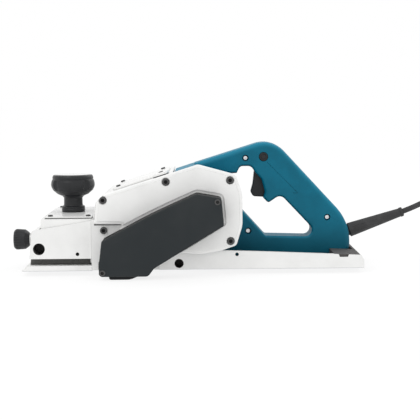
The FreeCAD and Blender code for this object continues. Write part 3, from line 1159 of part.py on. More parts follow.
def main():
    os.makedirs("parts", exist_ok=True)
    group = Part.makeCompound
    save("frame_casting", frame_casting())
    save("front_base", front_base())
    save("rear_base", rear_base())
    save("base_bolts", group(base_bolts()))
    save("top_plate", top_plate())
    save("top_plate_screws", group(top_plate_screws()))
    save("front_knob", front_knob())
    save("front_knob_bolt", front_knob_bolt())
    save("front_knob_cap", front_knob_cap())
    save("chip_cover", chip_cover())
    save("chip_cover_screws", group(chip_cover_screws()))
    save("chip_outlet", chip_outlet())
    save("side_housing", side_housing())
    save("side_housing_screws", group(side_housing_screws()))
    save("belt_cover", belt_cover())
    save("belt_cover_screws", group(belt_cover_screws()))
    save("drum_pulley", pulley(DRUM_X, DRUM_Z, DRUM_PULLEY_R, DRUM_SHAFT_R))
    save("motor_pulley", pulley(MOTOR_X, MOTOR_Z, MOTOR_PULLEY_R, MOTOR_SHAFT_R))
    save("drum_pulley_bolt", shaft_bolt(DRUM_X, DRUM_Z, 11.0, PULLEY_Y0 - 2.0))
    save("motor_pulley_bolt", shaft_bolt(MOTOR_X, MOTOR_Z, 9.0, PULLEY_Y0 - 2.0))
    save("drive_belt", drive_belt())
    save("drum_bearing_near", bearing(DRUM_X, DRUM_Z, DRUM_SHAFT_R, DRUM_BEARING_R, *DRUM_NEAR_BEARING))
    save("drum_bearing_far", bearing(DRUM_X, DRUM_Z, DRUM_SHAFT_R, DRUM_BEARING_R, *DRUM_FAR_BEARING))
    save("drum_bearing_cap", drum_bearing_cap())
    save("cutter_drum", cutter_drum())
    save("blades", group([blade(a) for a in BLADE_ANGLES]))
    save("blade_clamps", group([blade_clamp(a) for a in BLADE_ANGLES]))
    save("clamp_screws", group(clamp_screws()))
    save("motor_housing", motor_housing())
    save("motor_end_cover", motor_end_cover())
    save("motor_end_screws", group(motor_end_screws()))
    save("motor_bearing_near", bearing(MOTOR_X, MOTOR_Z, MOTOR_SHAFT_R, MOTOR_BEARING_R,
                                       PLATE_Y - 2.0, PLATE_Y + 8.0))
    save("motor_bearing_far", bearing(MOTOR_X, MOTOR_Z, FAR_SHAFT_R, FAR_BEARING_R,
                                      MOTOR_END + 4.2, MOTOR_END + 14.2))
    save("motor_shaft", motor_shaft())
    save("armature", armature())
    save("fan", fan())
    save("commutator", commutator())
    save("stator", stator())
    save("field_coils", group(field_coils()))
    save("brushes", group(brushes()))
    save("brush_holders", group(brush_holders()))
    save("handle_near", handle_shell(-1))
    save("handle_far", handle_shell(1))
    save("handle_screws", group(handle_screws()))
    save("switch_body", switch_body())
    save("trigger", trigger())
    save("trigger_pin", trigger_pin())
    save("lock_button", lock_button())
    save("depth_knob", depth_knob())
    save("depth_screw", depth_screw())
    save("depth_clip", depth_clip())
    save("depth_nut", depth_nut())
    save("cord_guard", cord_guard())
    save("cord_in_guard", cord_in_guard())
    save("cord_run", route_tube(ROUTE, CORD_R))
    save("cord_coil", cord_coil())
    save("cord_tail", cord_tail())
    save("plug_body", plug_body())
    save("plug_pins", group(plug_pins()))


if __name__ == "__main__":
    main()
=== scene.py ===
import bmesh
import bpy
import json
import math
from mathutils import Euler, Matrix, Vector


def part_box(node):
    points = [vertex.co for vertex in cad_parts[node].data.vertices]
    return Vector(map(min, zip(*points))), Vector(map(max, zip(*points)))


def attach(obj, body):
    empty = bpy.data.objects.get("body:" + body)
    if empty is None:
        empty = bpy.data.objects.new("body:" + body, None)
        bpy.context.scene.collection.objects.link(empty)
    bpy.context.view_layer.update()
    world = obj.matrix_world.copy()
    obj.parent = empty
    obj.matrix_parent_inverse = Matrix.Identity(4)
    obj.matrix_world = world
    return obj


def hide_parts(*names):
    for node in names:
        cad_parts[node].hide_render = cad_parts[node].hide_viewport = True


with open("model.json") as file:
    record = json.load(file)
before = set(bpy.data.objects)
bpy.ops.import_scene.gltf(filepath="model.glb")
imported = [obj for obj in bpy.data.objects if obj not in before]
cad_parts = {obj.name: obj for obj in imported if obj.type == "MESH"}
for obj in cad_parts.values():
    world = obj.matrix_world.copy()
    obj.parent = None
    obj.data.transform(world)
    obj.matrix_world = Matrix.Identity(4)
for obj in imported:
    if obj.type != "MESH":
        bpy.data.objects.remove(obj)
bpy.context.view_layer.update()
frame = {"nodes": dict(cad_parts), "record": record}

# ---------------------------------------------------------------- sizes, in metres
MM = 0.001
CORD_D = 8.4 * MM
COIL_MIDDLE = 11 * CORD_D / 2      # radius of the coil at the middle of its turns
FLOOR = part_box("belt_cover")[0].z  # the tool stands on its belt cover
TOP_RISE = 0.309                   # how much the sloping top rises for each millimetre back
SHOE_GROOVE = (8.1 * MM, 18.0 * MM)        # lower and upper edge of the front shoe's side groove
HOUSING_SHADOW_Z = (67.6 * MM, 69.6 * MM)   # height of the painted shadow line under the side housing's front part; the next line gives its run
HOUSING_SHADOW_X = (-132 * MM, -93 * MM)
CATCH_SIDE = -62.4 * MM            # the chip cover's catch plate stands out from here
DECK_FRONT = 220.5 * MM            # behind this the rear base's dark deck comes out nearly to its flanks
GROUND_EDGE = 0.65 * MM            # the soles are ground up to this height
KNOB_DISC_R = 25.35 * MM
BORE_MIDDLE = (-40 * MM, -30 * MM)         # the side bores are darkened no further in than this


def grey(level):
    """A neutral colour."""
    return (level, level, level, 1)


def shade(color, share):
    """A colour made darker."""
    return tuple(part * share for part in color[:3]) + (1,)


def lift(color, share):
    """A colour made lighter."""
    return tuple(min(1, part * share + 0.01) for part in color[:3]) + (1,)


# ---------------------------------------------------------------- camera, lamps and floor
CAMERA_AT = (0.0275, -1.679, 0.2474)
LOOKS_DOWN = math.radians(5.72)
LOOKS_ASIDE = math.radians(-0.37)
LEANS = math.radians(-0.5)


def add_camera():
    """Looks along +Y from the belt cover's side, a little from above."""
    data = bpy.data.cameras.new("camera")
    data.lens, data.sensor_width = 93.3, 36
    camera = bpy.data.objects.new("camera", data)
    camera.location = CAMERA_AT
    aim = Euler((math.radians(90) - LOOKS_DOWN, 0, LOOKS_ASIDE)).to_matrix()
    camera.rotation_euler = (aim @ Matrix.Rotation(LEANS, 3, "Z")).to_euler()
    bpy.context.collection.objects.link(camera)
    bpy.context.scene.camera = camera


def add_lamp(name, place, size, power):
    data = bpy.data.lights.new(name, "AREA")
    data.shape, data.size, data.energy = "DISK", size, power
    lamp = bpy.data.objects.new(name, data)
    lamp.location = place
    lamp.rotation_euler = (Vector((0, 0, 0.08)) - lamp.location).to_track_quat("-Z", "Y").to_euler()
    bpy.context.collection.objects.link(lamp)


def add_studio():
    world = bpy.data.worlds.new("studio")
    world.use_nodes = True
    world.node_tree.nodes["Background"].inputs["Color"].default_value = (1, 1, 1, 1)
    world.node_tree.nodes["Background"].inputs["Strength"].default_value = 1.0
    bpy.context.scene.world = world
    bpy.context.scene.view_settings.view_transform = "Standard"
    add_lamp("key", (-0.8, -1.0, 1.5), 0.9, 5)
    add_lamp("rim", (0.9, 0.8, 1.2), 0.8, 4)
    bpy.ops.mesh.primitive_plane_add(size=60, location=(0, 0, FLOOR))
    floor = bpy.context.object
    floor.name = "floor"
    made = Shader("floor_paper")
    made.surface(color=grey(0.2), roughness=0.9)
    made.bsdf.inputs["Specular IOR Level"].default_value = 0.0
    made.bsdf.inputs["Emission Color"].default_value = grey(1.0)
    made.bsdf.inputs["Emission Strength"].default_value = 0.8
    floor.data.materials.append(made.material)


# ---------------------------------------------------------------- shader arithmetic
class Value:
    """A shader socket that takes part in arithmetic."""

    def __init__(self, shader, socket):
        self.shader = shader
        self.socket = socket

    def __add__(self, other):
        return self.shader.math("ADD", self, other)

    def __neg__(self):
        return self.shader.math("MULTIPLY", self, -1)

    def __sub__(self, other):
        return self.shader.math("SUBTRACT", self, other)

    def __rsub__(self, other):
        return self.shader.math("SUBTRACT", other, self)

    def __mul__(self, other):
        return self.shader.math("MULTIPLY", self, other)

    def __pow__(self, other):
        return self.shader.math("POWER", self, other)

    __radd__ = __add__
    __rmul__ = __mul__

    def between(self, low, high):
        """0 below low, 1 above high, smooth between them."""
        return self.shader.node("ShaderNodeMapRange", {"Value": self, "From Min": low, "From Max": high},
                                interpolation_type="SMOOTHSTEP")["Result"]

    def within(self, low, high, soft):
        """1 where the value lies between low and high, fading over soft at each end."""
        return self.between(low - soft, low) * (1 - self.between(high, high + soft))


class Shader:
    """One node material."""

    def __init__(self, name):
        self.material = bpy.data.materials.new(name)
        self.material.use_nodes = True
        self.tree = self.material.node_tree
        self.bsdf = self.tree.nodes["Principled BSDF"]
        self.place = self.node("ShaderNodeTexCoord")["Object"]

    def node(self, kind, inputs=(), **settings):
        """Makes a node, feeds its inputs with numbers or values, and returns its outputs by name."""
        made = self.tree.nodes.new(kind)
        for key, setting in settings.items():
            setattr(made, key, setting)
        for key, value in dict(inputs).items():
            self.feed(made.inputs[key], value)
        return {out.name: Value(self, out) for out in made.outputs}

    def feed(self, socket, value):
        if isinstance(value, Value):
            self.tree.links.new(value.socket, socket)
        else:
            socket.default_value = value

    def math(self, operation, *terms):
        return self.node("ShaderNodeMath", dict(enumerate(terms)), operation=operation)["Value"]

    def axes(self):
        """The x, y and z of the place, as three values."""
        split = self.node("ShaderNodeSeparateXYZ", {0: self.place})
        return split["X"], split["Y"], split["Z"]

    def noise(self, size, detail=3.0, rough=0.55, stretch=(1, 1, 1)):
        """Smooth noise, 0 to 1, whose lumps are about size metres across."""
        scaled = self.node("ShaderNodeMapping", {"Vector": self.place, "Scale": stretch})["Vector"]
        made = self.node("ShaderNodeTexNoise", {"Vector": scaled, "Scale": 1 / size, "Detail": detail,
                                                "Roughness": rough})
        return made.get("Fac") or made["Factor"]

    def grains(self, size):
        """Distance to the nearest of scattered points about size metres apart."""
        return self.node("ShaderNodeTexVoronoi", {"Vector": self.place, "Scale": 1 / size})["Distance"]

    def edges(self, radius):
        """1 on convex and concave edges, 0 on open faces."""
        soft = self.node("ShaderNodeBevel", {"Radius": radius}, samples=4)["Normal"]
        true = self.node("ShaderNodeNewGeometry")["Normal"]
        along = self.node("ShaderNodeVectorMath", {0: soft, 1: true}, operation="DOT_PRODUCT")["Value"]
        return (1 - along).between(0.02, 0.25)

    def hollows(self, reach, share=0.5):
        """1 deep inside the piece's own holes, sockets and grooves, 0 on open faces; the finishes paint shade
        with it.
        """
        open_sky = self.node("ShaderNodeAmbientOcclusion", {"Distance": reach}, samples=6, only_local=True)
        return 1 - open_sky["AO"].between(share * 0.45, share)

    def highest(self, first, second):
        """The larger of two values."""
        return self.math("MAXIMUM", first, second)

    def worn_edges(self, start, full):
        """1 along edges where paint has rubbed off in patches."""
        return self.edges(0.5 * MM) * self.noise(9 * MM, 4).between(start, full)

    def mix(self, share, low, high):
        """A colour from low, where share is 0, to high, where it is 1."""
        made = self.tree.nodes.new("ShaderNodeMix")
        made.data_type = "RGBA"
        for index, value in ((0, share), (6, low), (7, high)):
            self.feed(made.inputs[index], value)
        return Value(self, made.outputs[2])

    def surface(self, color, roughness=0.5, metallic=0.0, coat=0.0, height=None, depth=0.0001, rounding=0.0,
                shine=0.5):
        """Feeds the surface; height, 0 to 1, stands up to depth metres proud."""
        self.bsdf.inputs["Specular IOR Level"].default_value = shine
        self.feed(self.bsdf.inputs["Base Color"], color)
        self.feed(self.bsdf.inputs["Roughness"], roughness)
        self.feed(self.bsdf.inputs["Metallic"], metallic)
        self.feed(self.bsdf.inputs["Coat Weight"], coat)
        normal = None
        if rounding:
            normal = self.node("ShaderNodeBevel", {"Radius": rounding}, samples=6)["Normal"]
        if height is not None:
            inputs = {"Height": height, "Distance": depth, "Strength": 1.0}
            if normal is not None:
                inputs["Normal"] = normal
            normal = self.node("ShaderNodeBump", inputs)["Normal"]
        if normal is not None:
            self.feed(self.bsdf.inputs["Normal"], normal)


# ---------------------------------------------------------------- materials
def cover_shadow_gap(made):
    """The painted shadow line along the chip cover's gaps: half strength on its foot all round, full on the
    near side of its catch plate.
    """
    x, y, z = made.axes()
    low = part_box("chip_cover")[0]
    above = (z - low.z - (x - low.x) * TOP_RISE) * math.cos(math.atan(TOP_RISE))
    foot = 1 - above.between(0.3 * MM, 0.5 * MM)
    catch = 1 - above.between(1.4 * MM, 1.7 * MM)
    catch = catch * (1 - y.between(CATCH_SIDE - 0.2 * MM, CATCH_SIDE + 0.2 * MM))
    return made.highest(foot * 0.5, catch)


def housing_shadow_gap(made):
    """1 on the frame's near wall along the line under the side housing: a painted shadow line."""
    x, y, z = made.axes()
    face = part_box("side_housing")[0].y
    along = z.within(*HOUSING_SHADOW_Z, 0.15 * MM) * x.within(*HOUSING_SHADOW_X, 0.4 * MM)
    return along * y.between(face, face + 1 * MM)


def painted_casting(name, color, gap_shadow=None, deep=0.62):
    """Powder-coated light alloy: fine orange peel, dirt specks, painted shade in its hollows, an optional
    painted shadow line along a gap, and edges worn to bare metal.
    """
    made = Shader(name)
    peel = made.noise(1.6 * MM, 2) * 0.7 + made.noise(0.4 * MM, 2) * 0.3
    cloud = made.noise(45 * MM, 4)
    speck = made.noise(2.2 * MM, 5, 0.7).between(0.70, 0.76)
    tone = made.mix(cloud.between(0.3, 0.75), color, shade(color, 0.93))
    tone = made.mix(speck * 0.25, tone, shade(color, 0.55))
    tone = made.mix(made.worn_edges(0.52, 0.66) * 0.6, tone, grey(0.42))
    # painted shade deep in the casting's own hollows
    tone = made.mix(made.hollows(9 * MM, deep), tone, grey(0.02))
    # painted shadow line along a gap, where one is given
    if gap_shadow:
        tone = made.mix(gap_shadow(made), tone, grey(0.02))
    made.surface(tone, roughness=0.36 + cloud * 0.12, coat=0.15, height=peel, depth=0.05 * MM,
                 rounding=0.8 * MM)
    return made.material


def moulded_plastic(name, color, grain, depth, roughness, shine=0.3, top_light=0.0, foot_shade=0.0):
    """Injection-moulded plastic: fine spark-eroded grain, optional painted top light (lighter on upward
    faces, darker on downward ones), optional painted shade darker towards its foot, painted highlights along
    its edges and painted shade in its hollows.
    """
    made = Shader(name)
    texture = made.grains(grain) * 0.6 + made.noise(grain * 2.2, 3) * 0.4
    rubbed = made.noise(30 * MM, 3)
    tone = made.mix(rubbed.between(0.35, 0.7), color, shade(color, 0.86))
    # lit and shaded copies of the colour, for the painted light below
    bright, dark = lift(color, 1.5), shade(color, 0.4)
    # painted top light: upward faces lighter, downward faces darker
    if top_light:
        normal = made.node("ShaderNodeTexCoord")["Normal"]
        upward = made.node("ShaderNodeSeparateXYZ", {0: normal})["Z"]
        tone = made.mix(upward.between(0.05, 0.9) * top_light, tone, bright)
        tone = made.mix((-upward).between(0.05, 0.9) * top_light, tone, dark)
    # painted shade, darker towards the foot
    if foot_shade:
        height = made.axes()[2]
        tone = made.mix((1 - height.between(12 * MM, 70 * MM)) * foot_shade, tone, dark)
    # painted highlight along the edges
    tone = made.mix(made.edges(0.5 * MM) * 0.35, tone, bright)
    # painted shade in the piece's own hollows
    tone = made.mix(made.hollows(4 * MM, 0.45), tone, shade(color, 0.25))
    made.surface(tone, roughness=roughness + rubbed * 0.14, height=texture, depth=depth,
                 rounding=0.6 * MM, shine=shine)
    return made.material


def turned_metal(name, color, roughness=0.28):
    """Machined or ground metal with fine tool marks."""
    made = Shader(name)
    marks = made.noise(0.7 * MM, 4, 0.65)
    cloud = made.noise(12 * MM, 3)
    tone = made.mix(cloud.between(0.3, 0.8), color, shade(color, 0.82))
    made.surface(tone, roughness=roughness + marks * 0.2, metallic=0.95, height=marks, depth=0.02 * MM,
                 rounding=0.3 * MM)
    return made.material


def cover_plastic():
    """The belt cover: grained slate plastic, darker down its side walls."""
    made = Shader("slate_plastic")
    y = made.axes()[1]
    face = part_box("belt_cover")[0].y
    walls = y.between(face + 0.8 * MM, face + 2.0 * MM)
    texture = made.grains(0.5 * MM) * 0.6 + made.noise(1.1 * MM, 3) * 0.4
    rubbed = made.noise(34 * MM, 4)
    dust = made.noise(70 * MM, 3).between(0.35, 0.75)
    tone = made.mix(dust, (0.019, 0.0235, 0.026, 1), (0.026, 0.030, 0.032, 1))
    tone = made.mix(walls, tone, (0.008, 0.009, 0.010, 1))
    scuff = made.noise(3 * MM, 6, 0.75, (1, 1, 0.25)).between(0.66, 0.74)
    scuff = scuff * made.noise(50 * MM, 2).between(0.5, 0.7)
    tone = made.mix(scuff * 0.35, tone, grey(0.09))
    tone = made.mix(made.edges(0.6 * MM) * 0.5, tone, grey(0.075))
    # painted shade in the cover's own hollows
    tone = made.mix(made.hollows(4 * MM, 0.45), tone, grey(0.004))
    made.surface(tone, roughness=0.48 + rubbed * 0.14, height=texture, depth=0.06 * MM, rounding=0.6 * MM,
                 shine=0.2)
    return made.material


def plate_paint():
    """The nose plate: pale paint, with a painted shadow line round its foot and painted shade in its hollows.
    """
    made = Shader("plate_paint")
    z = made.axes()[2]
    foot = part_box("top_plate")[0].z
    foot_shadow = 1 - z.between(foot + 1.2 * MM, foot + 1.5 * MM)
    cloud = made.noise(30 * MM, 4)
    tone = made.mix(cloud.between(0.3, 0.75), (0.80, 0.80, 0.79, 1), (0.70, 0.70, 0.70, 1))
    # painted shadow line round the plate's foot
    tone = made.mix(foot_shadow, tone, grey(0.04))
    tone = made.mix(made.worn_edges(0.5, 0.64) * 0.6, tone, grey(0.35))
    # painted shade in the plate's own hollows
    tone = made.mix(made.hollows(6 * MM, 0.6), tone, grey(0.02))
    made.surface(tone, roughness=0.30 + cloud * 0.15, coat=0.3, height=made.noise(1.4 * MM, 2),
                 depth=0.04 * MM, rounding=0.5 * MM)
    return made.material


def knob_cap_with_reflection():
    """Polished black moulding with faint swirl marks; its top is painted as a pale disc, a painted reflection
    on the gloss.
    """
    made = Shader("knob_cap_with_reflection")
    low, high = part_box("front_knob_cap")
    x, y, z = made.axes()
    away = made.math("SQRT", (x - (low.x + high.x) / 2) ** 2 + y ** 2)
    # painted reflection: the glossy top painted as a pale disc
    disc = 1 - away.between(KNOB_DISC_R - 0.15 * MM, KNOB_DISC_R + 0.15 * MM)
    disc = disc * z.between(high.z - 1.6 * MM, high.z - 1.4 * MM)
    swirl = made.noise(1.5 * MM, 5, 0.7, (1, 0.3, 1))
    black = made.mix(made.edges(0.6 * MM), grey(0.014), grey(0.03))
    tone = made.mix(disc, black, made.mix(swirl, grey(0.80), grey(0.68)))
    made.surface(tone, roughness=0.05 + swirl * 0.08 + disc * 0.2, coat=1 - disc * 0.6, height=swirl,
                 depth=0.003 * MM, rounding=0.3 * MM)
    return made.material


def socket_screws():
    """Blackened screw heads: worn grey on the face, with painted shade at the rim and in the socket."""
    made = Shader("blackened_steel")
    rim = made.edges(1.1 * MM)
    grain = made.noise(0.6 * MM, 4, 0.65)
    worn = made.mix(grain, grey(0.05), grey(0.12))
    # the rim painted nearly black as shade
    tone = made.mix(rim, worn, grey(0.008))
    # painted shade in the socket and other hollows
    tone = made.mix(made.hollows(6 * MM, 0.92), tone, grey(0.003))
    made.surface(tone, roughness=0.42 + grain * 0.2, metallic=0.15, height=grain, depth=0.02 * MM,
                 shine=0.2)
    return made.material


def black_rubber():
    """Soft black rubber with a dusty bloom, rubbed grey along its ridges."""
    made = Shader("black_rubber")
    color = (0.022, 0.022, 0.023, 1)
    bloom = made.noise(18 * MM, 4)
    grain = made.noise(0.5 * MM, 3)
    tone = made.mix(bloom.between(0.45, 0.8), color, lift(color, 1.7))
    tone = made.mix(made.edges(0.7 * MM) * 0.6, tone, grey(0.10))
    # painted shade in the piece's own hollows
    tone = made.mix(made.hollows(5 * MM, 0.8), tone, grey(0.004))
    made.surface(tone, roughness=0.55 + bloom * 0.15, height=grain, depth=0.03 * MM, rounding=0.3 * MM)
    return made.material


def front_shoe_faces():
    """Front shoe: pale paint, side grooves and bores painted dark as shade over a sandy texture, painted
    shade in its hollows, and a ground underside.
    """
    made = Shader("front_shoe_faces")
    x, y, z = made.axes()
    side = made.math("ABSOLUTE", y)
    low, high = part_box("front_base")
    # the side grooves and bores are painted dark as shade
    groove = z.within(*SHOE_GROOVE, 0.2 * MM) * side.between(high.y * 0.5, high.y * 0.6)
    groove = groove * (1 - side.between(high.y - 0.5 * MM, high.y - 0.3 * MM))
    groove = groove * x.between(low.x + 9.5 * MM, low.x + 10 * MM)
    groove = made.highest(groove, shadowed_bores(made, "front_fence_socket", "front_fence_thread"))
    cloud = made.noise(30 * MM, 4)
    paint = made.mix(cloud.between(0.3, 0.75), (0.84, 0.84, 0.83, 1), (0.79, 0.79, 0.78, 1))
    sand = made.noise(0.9 * MM, 4, 0.7)
    # dark colour with a sandy texture, painted as shade in the grooves and bores
    shaded_sand = made.mix(sand, grey(0.045), (0.11, 0.11, 0.10, 1))
    tone = made.mix(groove, paint, shaded_sand)
    tone = made.mix(made.worn_edges(0.52, 0.66) * 0.5, tone, grey(0.42))
    # painted shade in the shoe's own hollows
    tone = made.mix(made.hollows(9 * MM, 0.62), tone, grey(0.02))
    under = 1 - z.between(GROUND_EDGE - 0.15 * MM, GROUND_EDGE + 0.15 * MM)
    tone = made.mix(under, tone, (0.62, 0.63, 0.64, 1))
    made.surface(tone, roughness=0.38 + cloud * 0.1 + groove * 0.3, metallic=under * 0.9,
                 height=sand * groove + made.noise(1.4 * MM, 2) * (1 - groove), depth=0.06 * MM,
                 rounding=0.7 * MM)
    return made.material


def shadowed_bores(made, *mounts):
    """1 inside the record's side bores, behind the face that they open in."""
    x, y, z = made.axes()
    inside = 0.0
    for mount in frame["record"]["mounts"]:
        if mount["name"] not in mounts:
            continue
        at, size = mount["pos_m"], mount["dims"]["r_mm"] * MM
        away = made.math("SQRT", (x - at[0]) ** 2 + (z - at[2]) ** 2)
        face = at[1] - mount["dims"]["length_mm"] / 2 * MM
        bore = 1 - away.between(size + 0.05 * MM, size + 0.25 * MM)
        behind = y.between(face - 1 * MM, face) * (1 - y.between(*BORE_MIDDLE))
        inside = made.highest(inside, bore * behind)
    return inside


def rear_base_faces():
    """Rear base: painted flanks, a matt dark deck inside them and a ground underside."""
    made = Shader("rear_base_faces")
    x, y, z = made.axes()
    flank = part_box("rear_base")[1].y
    behind = x.between(DECK_FRONT - 0.5 * MM, DECK_FRONT + 0.5 * MM)
    side = made.math("ABSOLUTE", y) - behind * 4.2 * MM
    deck = z.between(1.0 * MM, 1.4 * MM) * (1 - side.between(flank - 5.3 * MM, flank - 4.9 * MM))
    deck = made.highest(deck, shadowed_bores(made, "rear_fence_socket", "rear_fence_thread"))
    under = 1 - z.between(GROUND_EDGE - 0.15 * MM, GROUND_EDGE + 0.15 * MM)
    cloud = made.noise(30 * MM, 4)
    paint = made.mix(cloud.between(0.3, 0.75), (0.83, 0.83, 0.82, 1), (0.78, 0.78, 0.77, 1))
    sand = made.noise(1.1 * MM, 4, 0.7)
    tone = made.mix(deck, paint, made.mix(sand, (0.05, 0.046, 0.045, 1), (0.10, 0.092, 0.09, 1)))
    tone = made.mix(under, tone, (0.62, 0.63, 0.64, 1))
    lines = made.noise(0.6 * MM, 3, 0.6, (0.05, 1, 1))
    made.surface(tone, roughness=0.36 + cloud * 0.1 + deck * 0.25, metallic=under * 0.9,
                 height=lines * under + made.noise(1.4 * MM, 2) * (1 - under), depth=0.03 * MM,
                 rounding=0.7 * MM)
    return made.material


def dress_nodes():
    """Gives every carried-over node its finish, and returns the rubber for the cord."""
    white = painted_casting("white_paint", (0.86, 0.86, 0.85, 1), deep=0.42)
    # the teal plastic gets painted top light and painted shade towards its foot
    teal = moulded_plastic("teal_plastic", (0.0006, 0.138, 0.218, 1), 0.45 * MM, 0.05 * MM, 0.4, shine=0.18,
                           top_light=0.8, foot_shade=0.5)
    slate = cover_plastic()
    black = moulded_plastic("black_plastic", (0.018, 0.019, 0.021, 1), 0.4 * MM, 0.03 * MM, 0.3)
    oxide = socket_screws()
    steel = turned_metal("steel", (0.56, 0.56, 0.55, 1))
    bright = turned_metal("bright_steel", (0.75, 0.75, 0.76, 1), 0.16)
    alloy = turned_metal("turned_alloy", (0.62, 0.63, 0.65, 1), 0.3)
    dull = turned_metal("laminated_steel", (0.30, 0.29, 0.28, 1), 0.45)
    copper = turned_metal("copper", (0.62, 0.24, 0.09, 1), 0.3)
    brass = turned_metal("brass", (0.68, 0.48, 0.18, 1), 0.28)
    soft = black_rubber()
    groups = {
        white: ["side_housing"],
        # the chip cover gets a painted shadow line along its gaps
        painted_casting("chip_cover_paint", (0.85, 0.85, 0.84, 1), gap_shadow=cover_shadow_gap): ["chip_cover"],
        # the frame gets a painted shadow line under the side housing
        painted_casting("frame_paint", (0.85, 0.85, 0.84, 1), gap_shadow=housing_shadow_gap): ["frame_casting"],
        front_shoe_faces(): ["front_base"],
        plate_paint(): ["top_plate"],
        knob_cap_with_reflection(): ["front_knob_cap"],
        teal: ["motor_housing", "motor_end_cover", "handle_near", "handle_far"],
        slate: ["belt_cover"],
        black: ["front_knob", "trigger", "lock_button", "depth_knob", "fan",
                "chip_outlet", "switch_body", "brushes"],
        oxide: ["side_housing_screws", "belt_cover_screws", "top_plate_screws", "chip_cover_screws"],
        steel: ["base_bolts", "front_knob_bolt", "drum_pulley_bolt", "motor_pulley_bolt",
                "drum_bearing_near", "drum_bearing_far", "drum_bearing_cap", "motor_bearing_near",
                "motor_bearing_far", "motor_shaft", "trigger_pin", "depth_screw", "depth_clip",
                "clamp_screws", "motor_end_screws"],
        bright: ["blades", "plug_pins", "blade_clamps", "handle_screws"],
        alloy: ["cutter_drum", "drum_pulley", "motor_pulley"],
        dull: ["armature", "stator"],
        copper: ["field_coils", "commutator"],
        brass: ["brush_holders", "depth_nut"],
        soft: ["drive_belt", "cord_guard", "cord_in_guard", "plug_body"],
        rear_base_faces(): ["rear_base"],
    }
    for material, nodes in groups.items():
        for node in nodes:
            for place in frame["nodes"][node].material_slots:
                place.material = material
    return soft


# ---------------------------------------------------------------- cord
ROUTE = [(337.1, 0, 74.3), (353, 0, 80.4), (370, 0, 88.6), (391, 0, 94.5), (413, 0, 91), (432, 0, 78),
         (444, 0, 58), (455, 0, 37.5), (469, 0, 18.5), (487, 0, 4.4), (508, 0, -2.2), (530, 0, -3.2)]
COIL_CENTRE = Vector((0.556, COIL_MIDDLE + 1.5 * CORD_D, FLOOR + CORD_D / 2))
TURNS = 7.5
TURN_POINTS = 16


def coil_points():
    """Four rings side by side from the outside in, then four on top from the inside out."""
    points = []
    for step in range(2, round(TURNS * TURN_POINTS) + 1):
        turn = step / TURN_POINTS
        ring, part = int(turn), turn % 1
        slide = min(1, max(0, (part - 0.75) / 0.25))
        rings_in = min(ring + slide, 3) if turn < 4 else 7 - min(max(ring + slide, 4), 7)
        radius = COIL_MIDDLE + (1.5 - rings_in) * CORD_D
        climb = min(1, max(0, (turn - 3.7) / 0.3))
        angle = turn * 2 * math.pi - math.pi / 2
        reach = radius / math.cos(math.pi / TURN_POINTS) ** 0.5
        spot = Vector((math.cos(angle) * reach, math.sin(angle) * reach, climb * CORD_D))
        points.append(COIL_CENTRE + spot)
    return points


def add_cord(rubber):
    tail_y = COIL_CENTRE.y + COIL_MIDDLE + 1.5 * CORD_D
    tail_z = FLOOR + 14.2 * MM
    tail_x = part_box("plug_body")[1].x
    start = COIL_CENTRE + Vector((0, -COIL_MIDDLE - 1.5 * CORD_D, 0))
    points = [Vector(p) * MM for p in ROUTE] + [start] + coil_points()
    points += [Vector((COIL_CENTRE.x - 0.03, tail_y, tail_z)), Vector((tail_x, tail_y, tail_z))]
    curve = bpy.data.curves.new("cord", "CURVE")
    curve.dimensions = "3D"
    spline = curve.splines.new("NURBS")
    spline.points.add(len(points) - 1)
    for place, point in zip(spline.points, points):
        place.co = (*point, 1)
    spline.order_u = 3
    spline.use_endpoint_u = True
    curve.resolution_u = 6
    curve.bevel_depth, curve.bevel_resolution = CORD_D / 2, 6
    curve.use_fill_caps = True
    cord = bpy.data.objects.new("cord", curve)
    bpy.context.collection.objects.link(cord)
    cord.data.materials.append(rubber)
    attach(cord, "frame")
    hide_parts("cord_run", "cord_coil", "cord_tail")


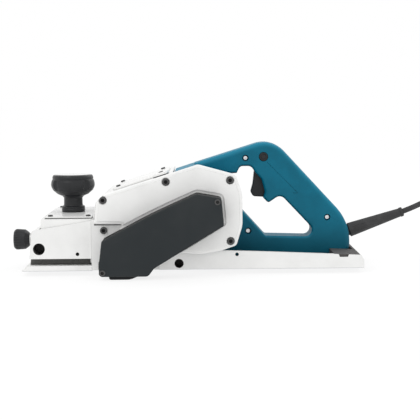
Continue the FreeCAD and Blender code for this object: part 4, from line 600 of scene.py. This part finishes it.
# ---------------------------------------------------------------- coil tie
def add_coil_tie():
    """Hook-and-loop strap round the bundled turns, on the side away from the tool."""
    strap, wide, high = 12 * MM, 4 * CORD_D + 3 * MM, 2 * CORD_D + 1.6 * MM
    bpy.ops.object.select_all(action="DESELECT")
    centre = (COIL_CENTRE.x + COIL_MIDDLE, COIL_CENTRE.y, FLOOR + high / 2 + 0.1 * MM)
    bpy.ops.mesh.primitive_cube_add(size=1, location=centre)
    tie = bpy.context.object
    tie.name = "coil_tie"
    tie.scale = (wide, strap, high)
    bpy.ops.object.transform_apply(location=True, rotation=True, scale=True)
    bpy.ops.object.mode_set(mode="EDIT")
    mesh = bmesh.from_edit_mesh(tie.data)
    ends = [face for face in mesh.faces if abs(face.normal.y) > 0.9]
    bmesh.ops.delete(mesh, geom=ends, context="FACES_ONLY")
    for edge in mesh.edges:
        edge.select = abs((edge.verts[0].co - edge.verts[1].co).normalized().y) > 0.9
    bmesh.update_edit_mesh(tie.data)
    bpy.ops.mesh.select_mode(type="EDGE")
    bpy.ops.mesh.bevel(offset=6 * MM, segments=6, affect="EDGES")
    bpy.ops.mesh.select_all(action="SELECT")
    bpy.ops.mesh.subdivide(number_cuts=2)
    bpy.ops.object.mode_set(mode="OBJECT")
    for kind, settings in (("SOLIDIFY", {"thickness": 1.3 * MM, "offset": -1}),
                           ("BEVEL", {"width": 0.35 * MM, "segments": 2, "limit_method": "ANGLE"})):
        made = tie.modifiers.new(kind.lower(), kind)
        for key, setting in settings.items():
            setattr(made, key, setting)
        bpy.ops.object.modifier_apply(modifier=made.name)
    middle = Vector((COIL_CENTRE.x, COIL_CENTRE.y, 0))
    eighth = Matrix.Rotation(math.radians(45), 4, "Z")
    tie.data.transform(Matrix.Translation(middle) @ eighth @ Matrix.Translation(-middle))
    bpy.ops.object.shade_smooth_by_angle(angle=math.radians(35))
    tie.data.materials.append(hook_and_loop())
    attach(tie, "frame")


def hook_and_loop():
    """Black nylon pile."""
    made = Shader("strap_pile")
    pile = made.noise(0.35 * MM, 4, 0.8) * 0.7 + made.grains(0.6 * MM) * 0.3
    tone = made.mix(pile.between(0.3, 0.7), grey(0.008), grey(0.035))
    made.surface(tone, roughness=0.85, height=pile, depth=0.25 * MM)
    return made.material


add_camera()
add_studio()
add_cord(dress_nodes())
add_coil_tie()
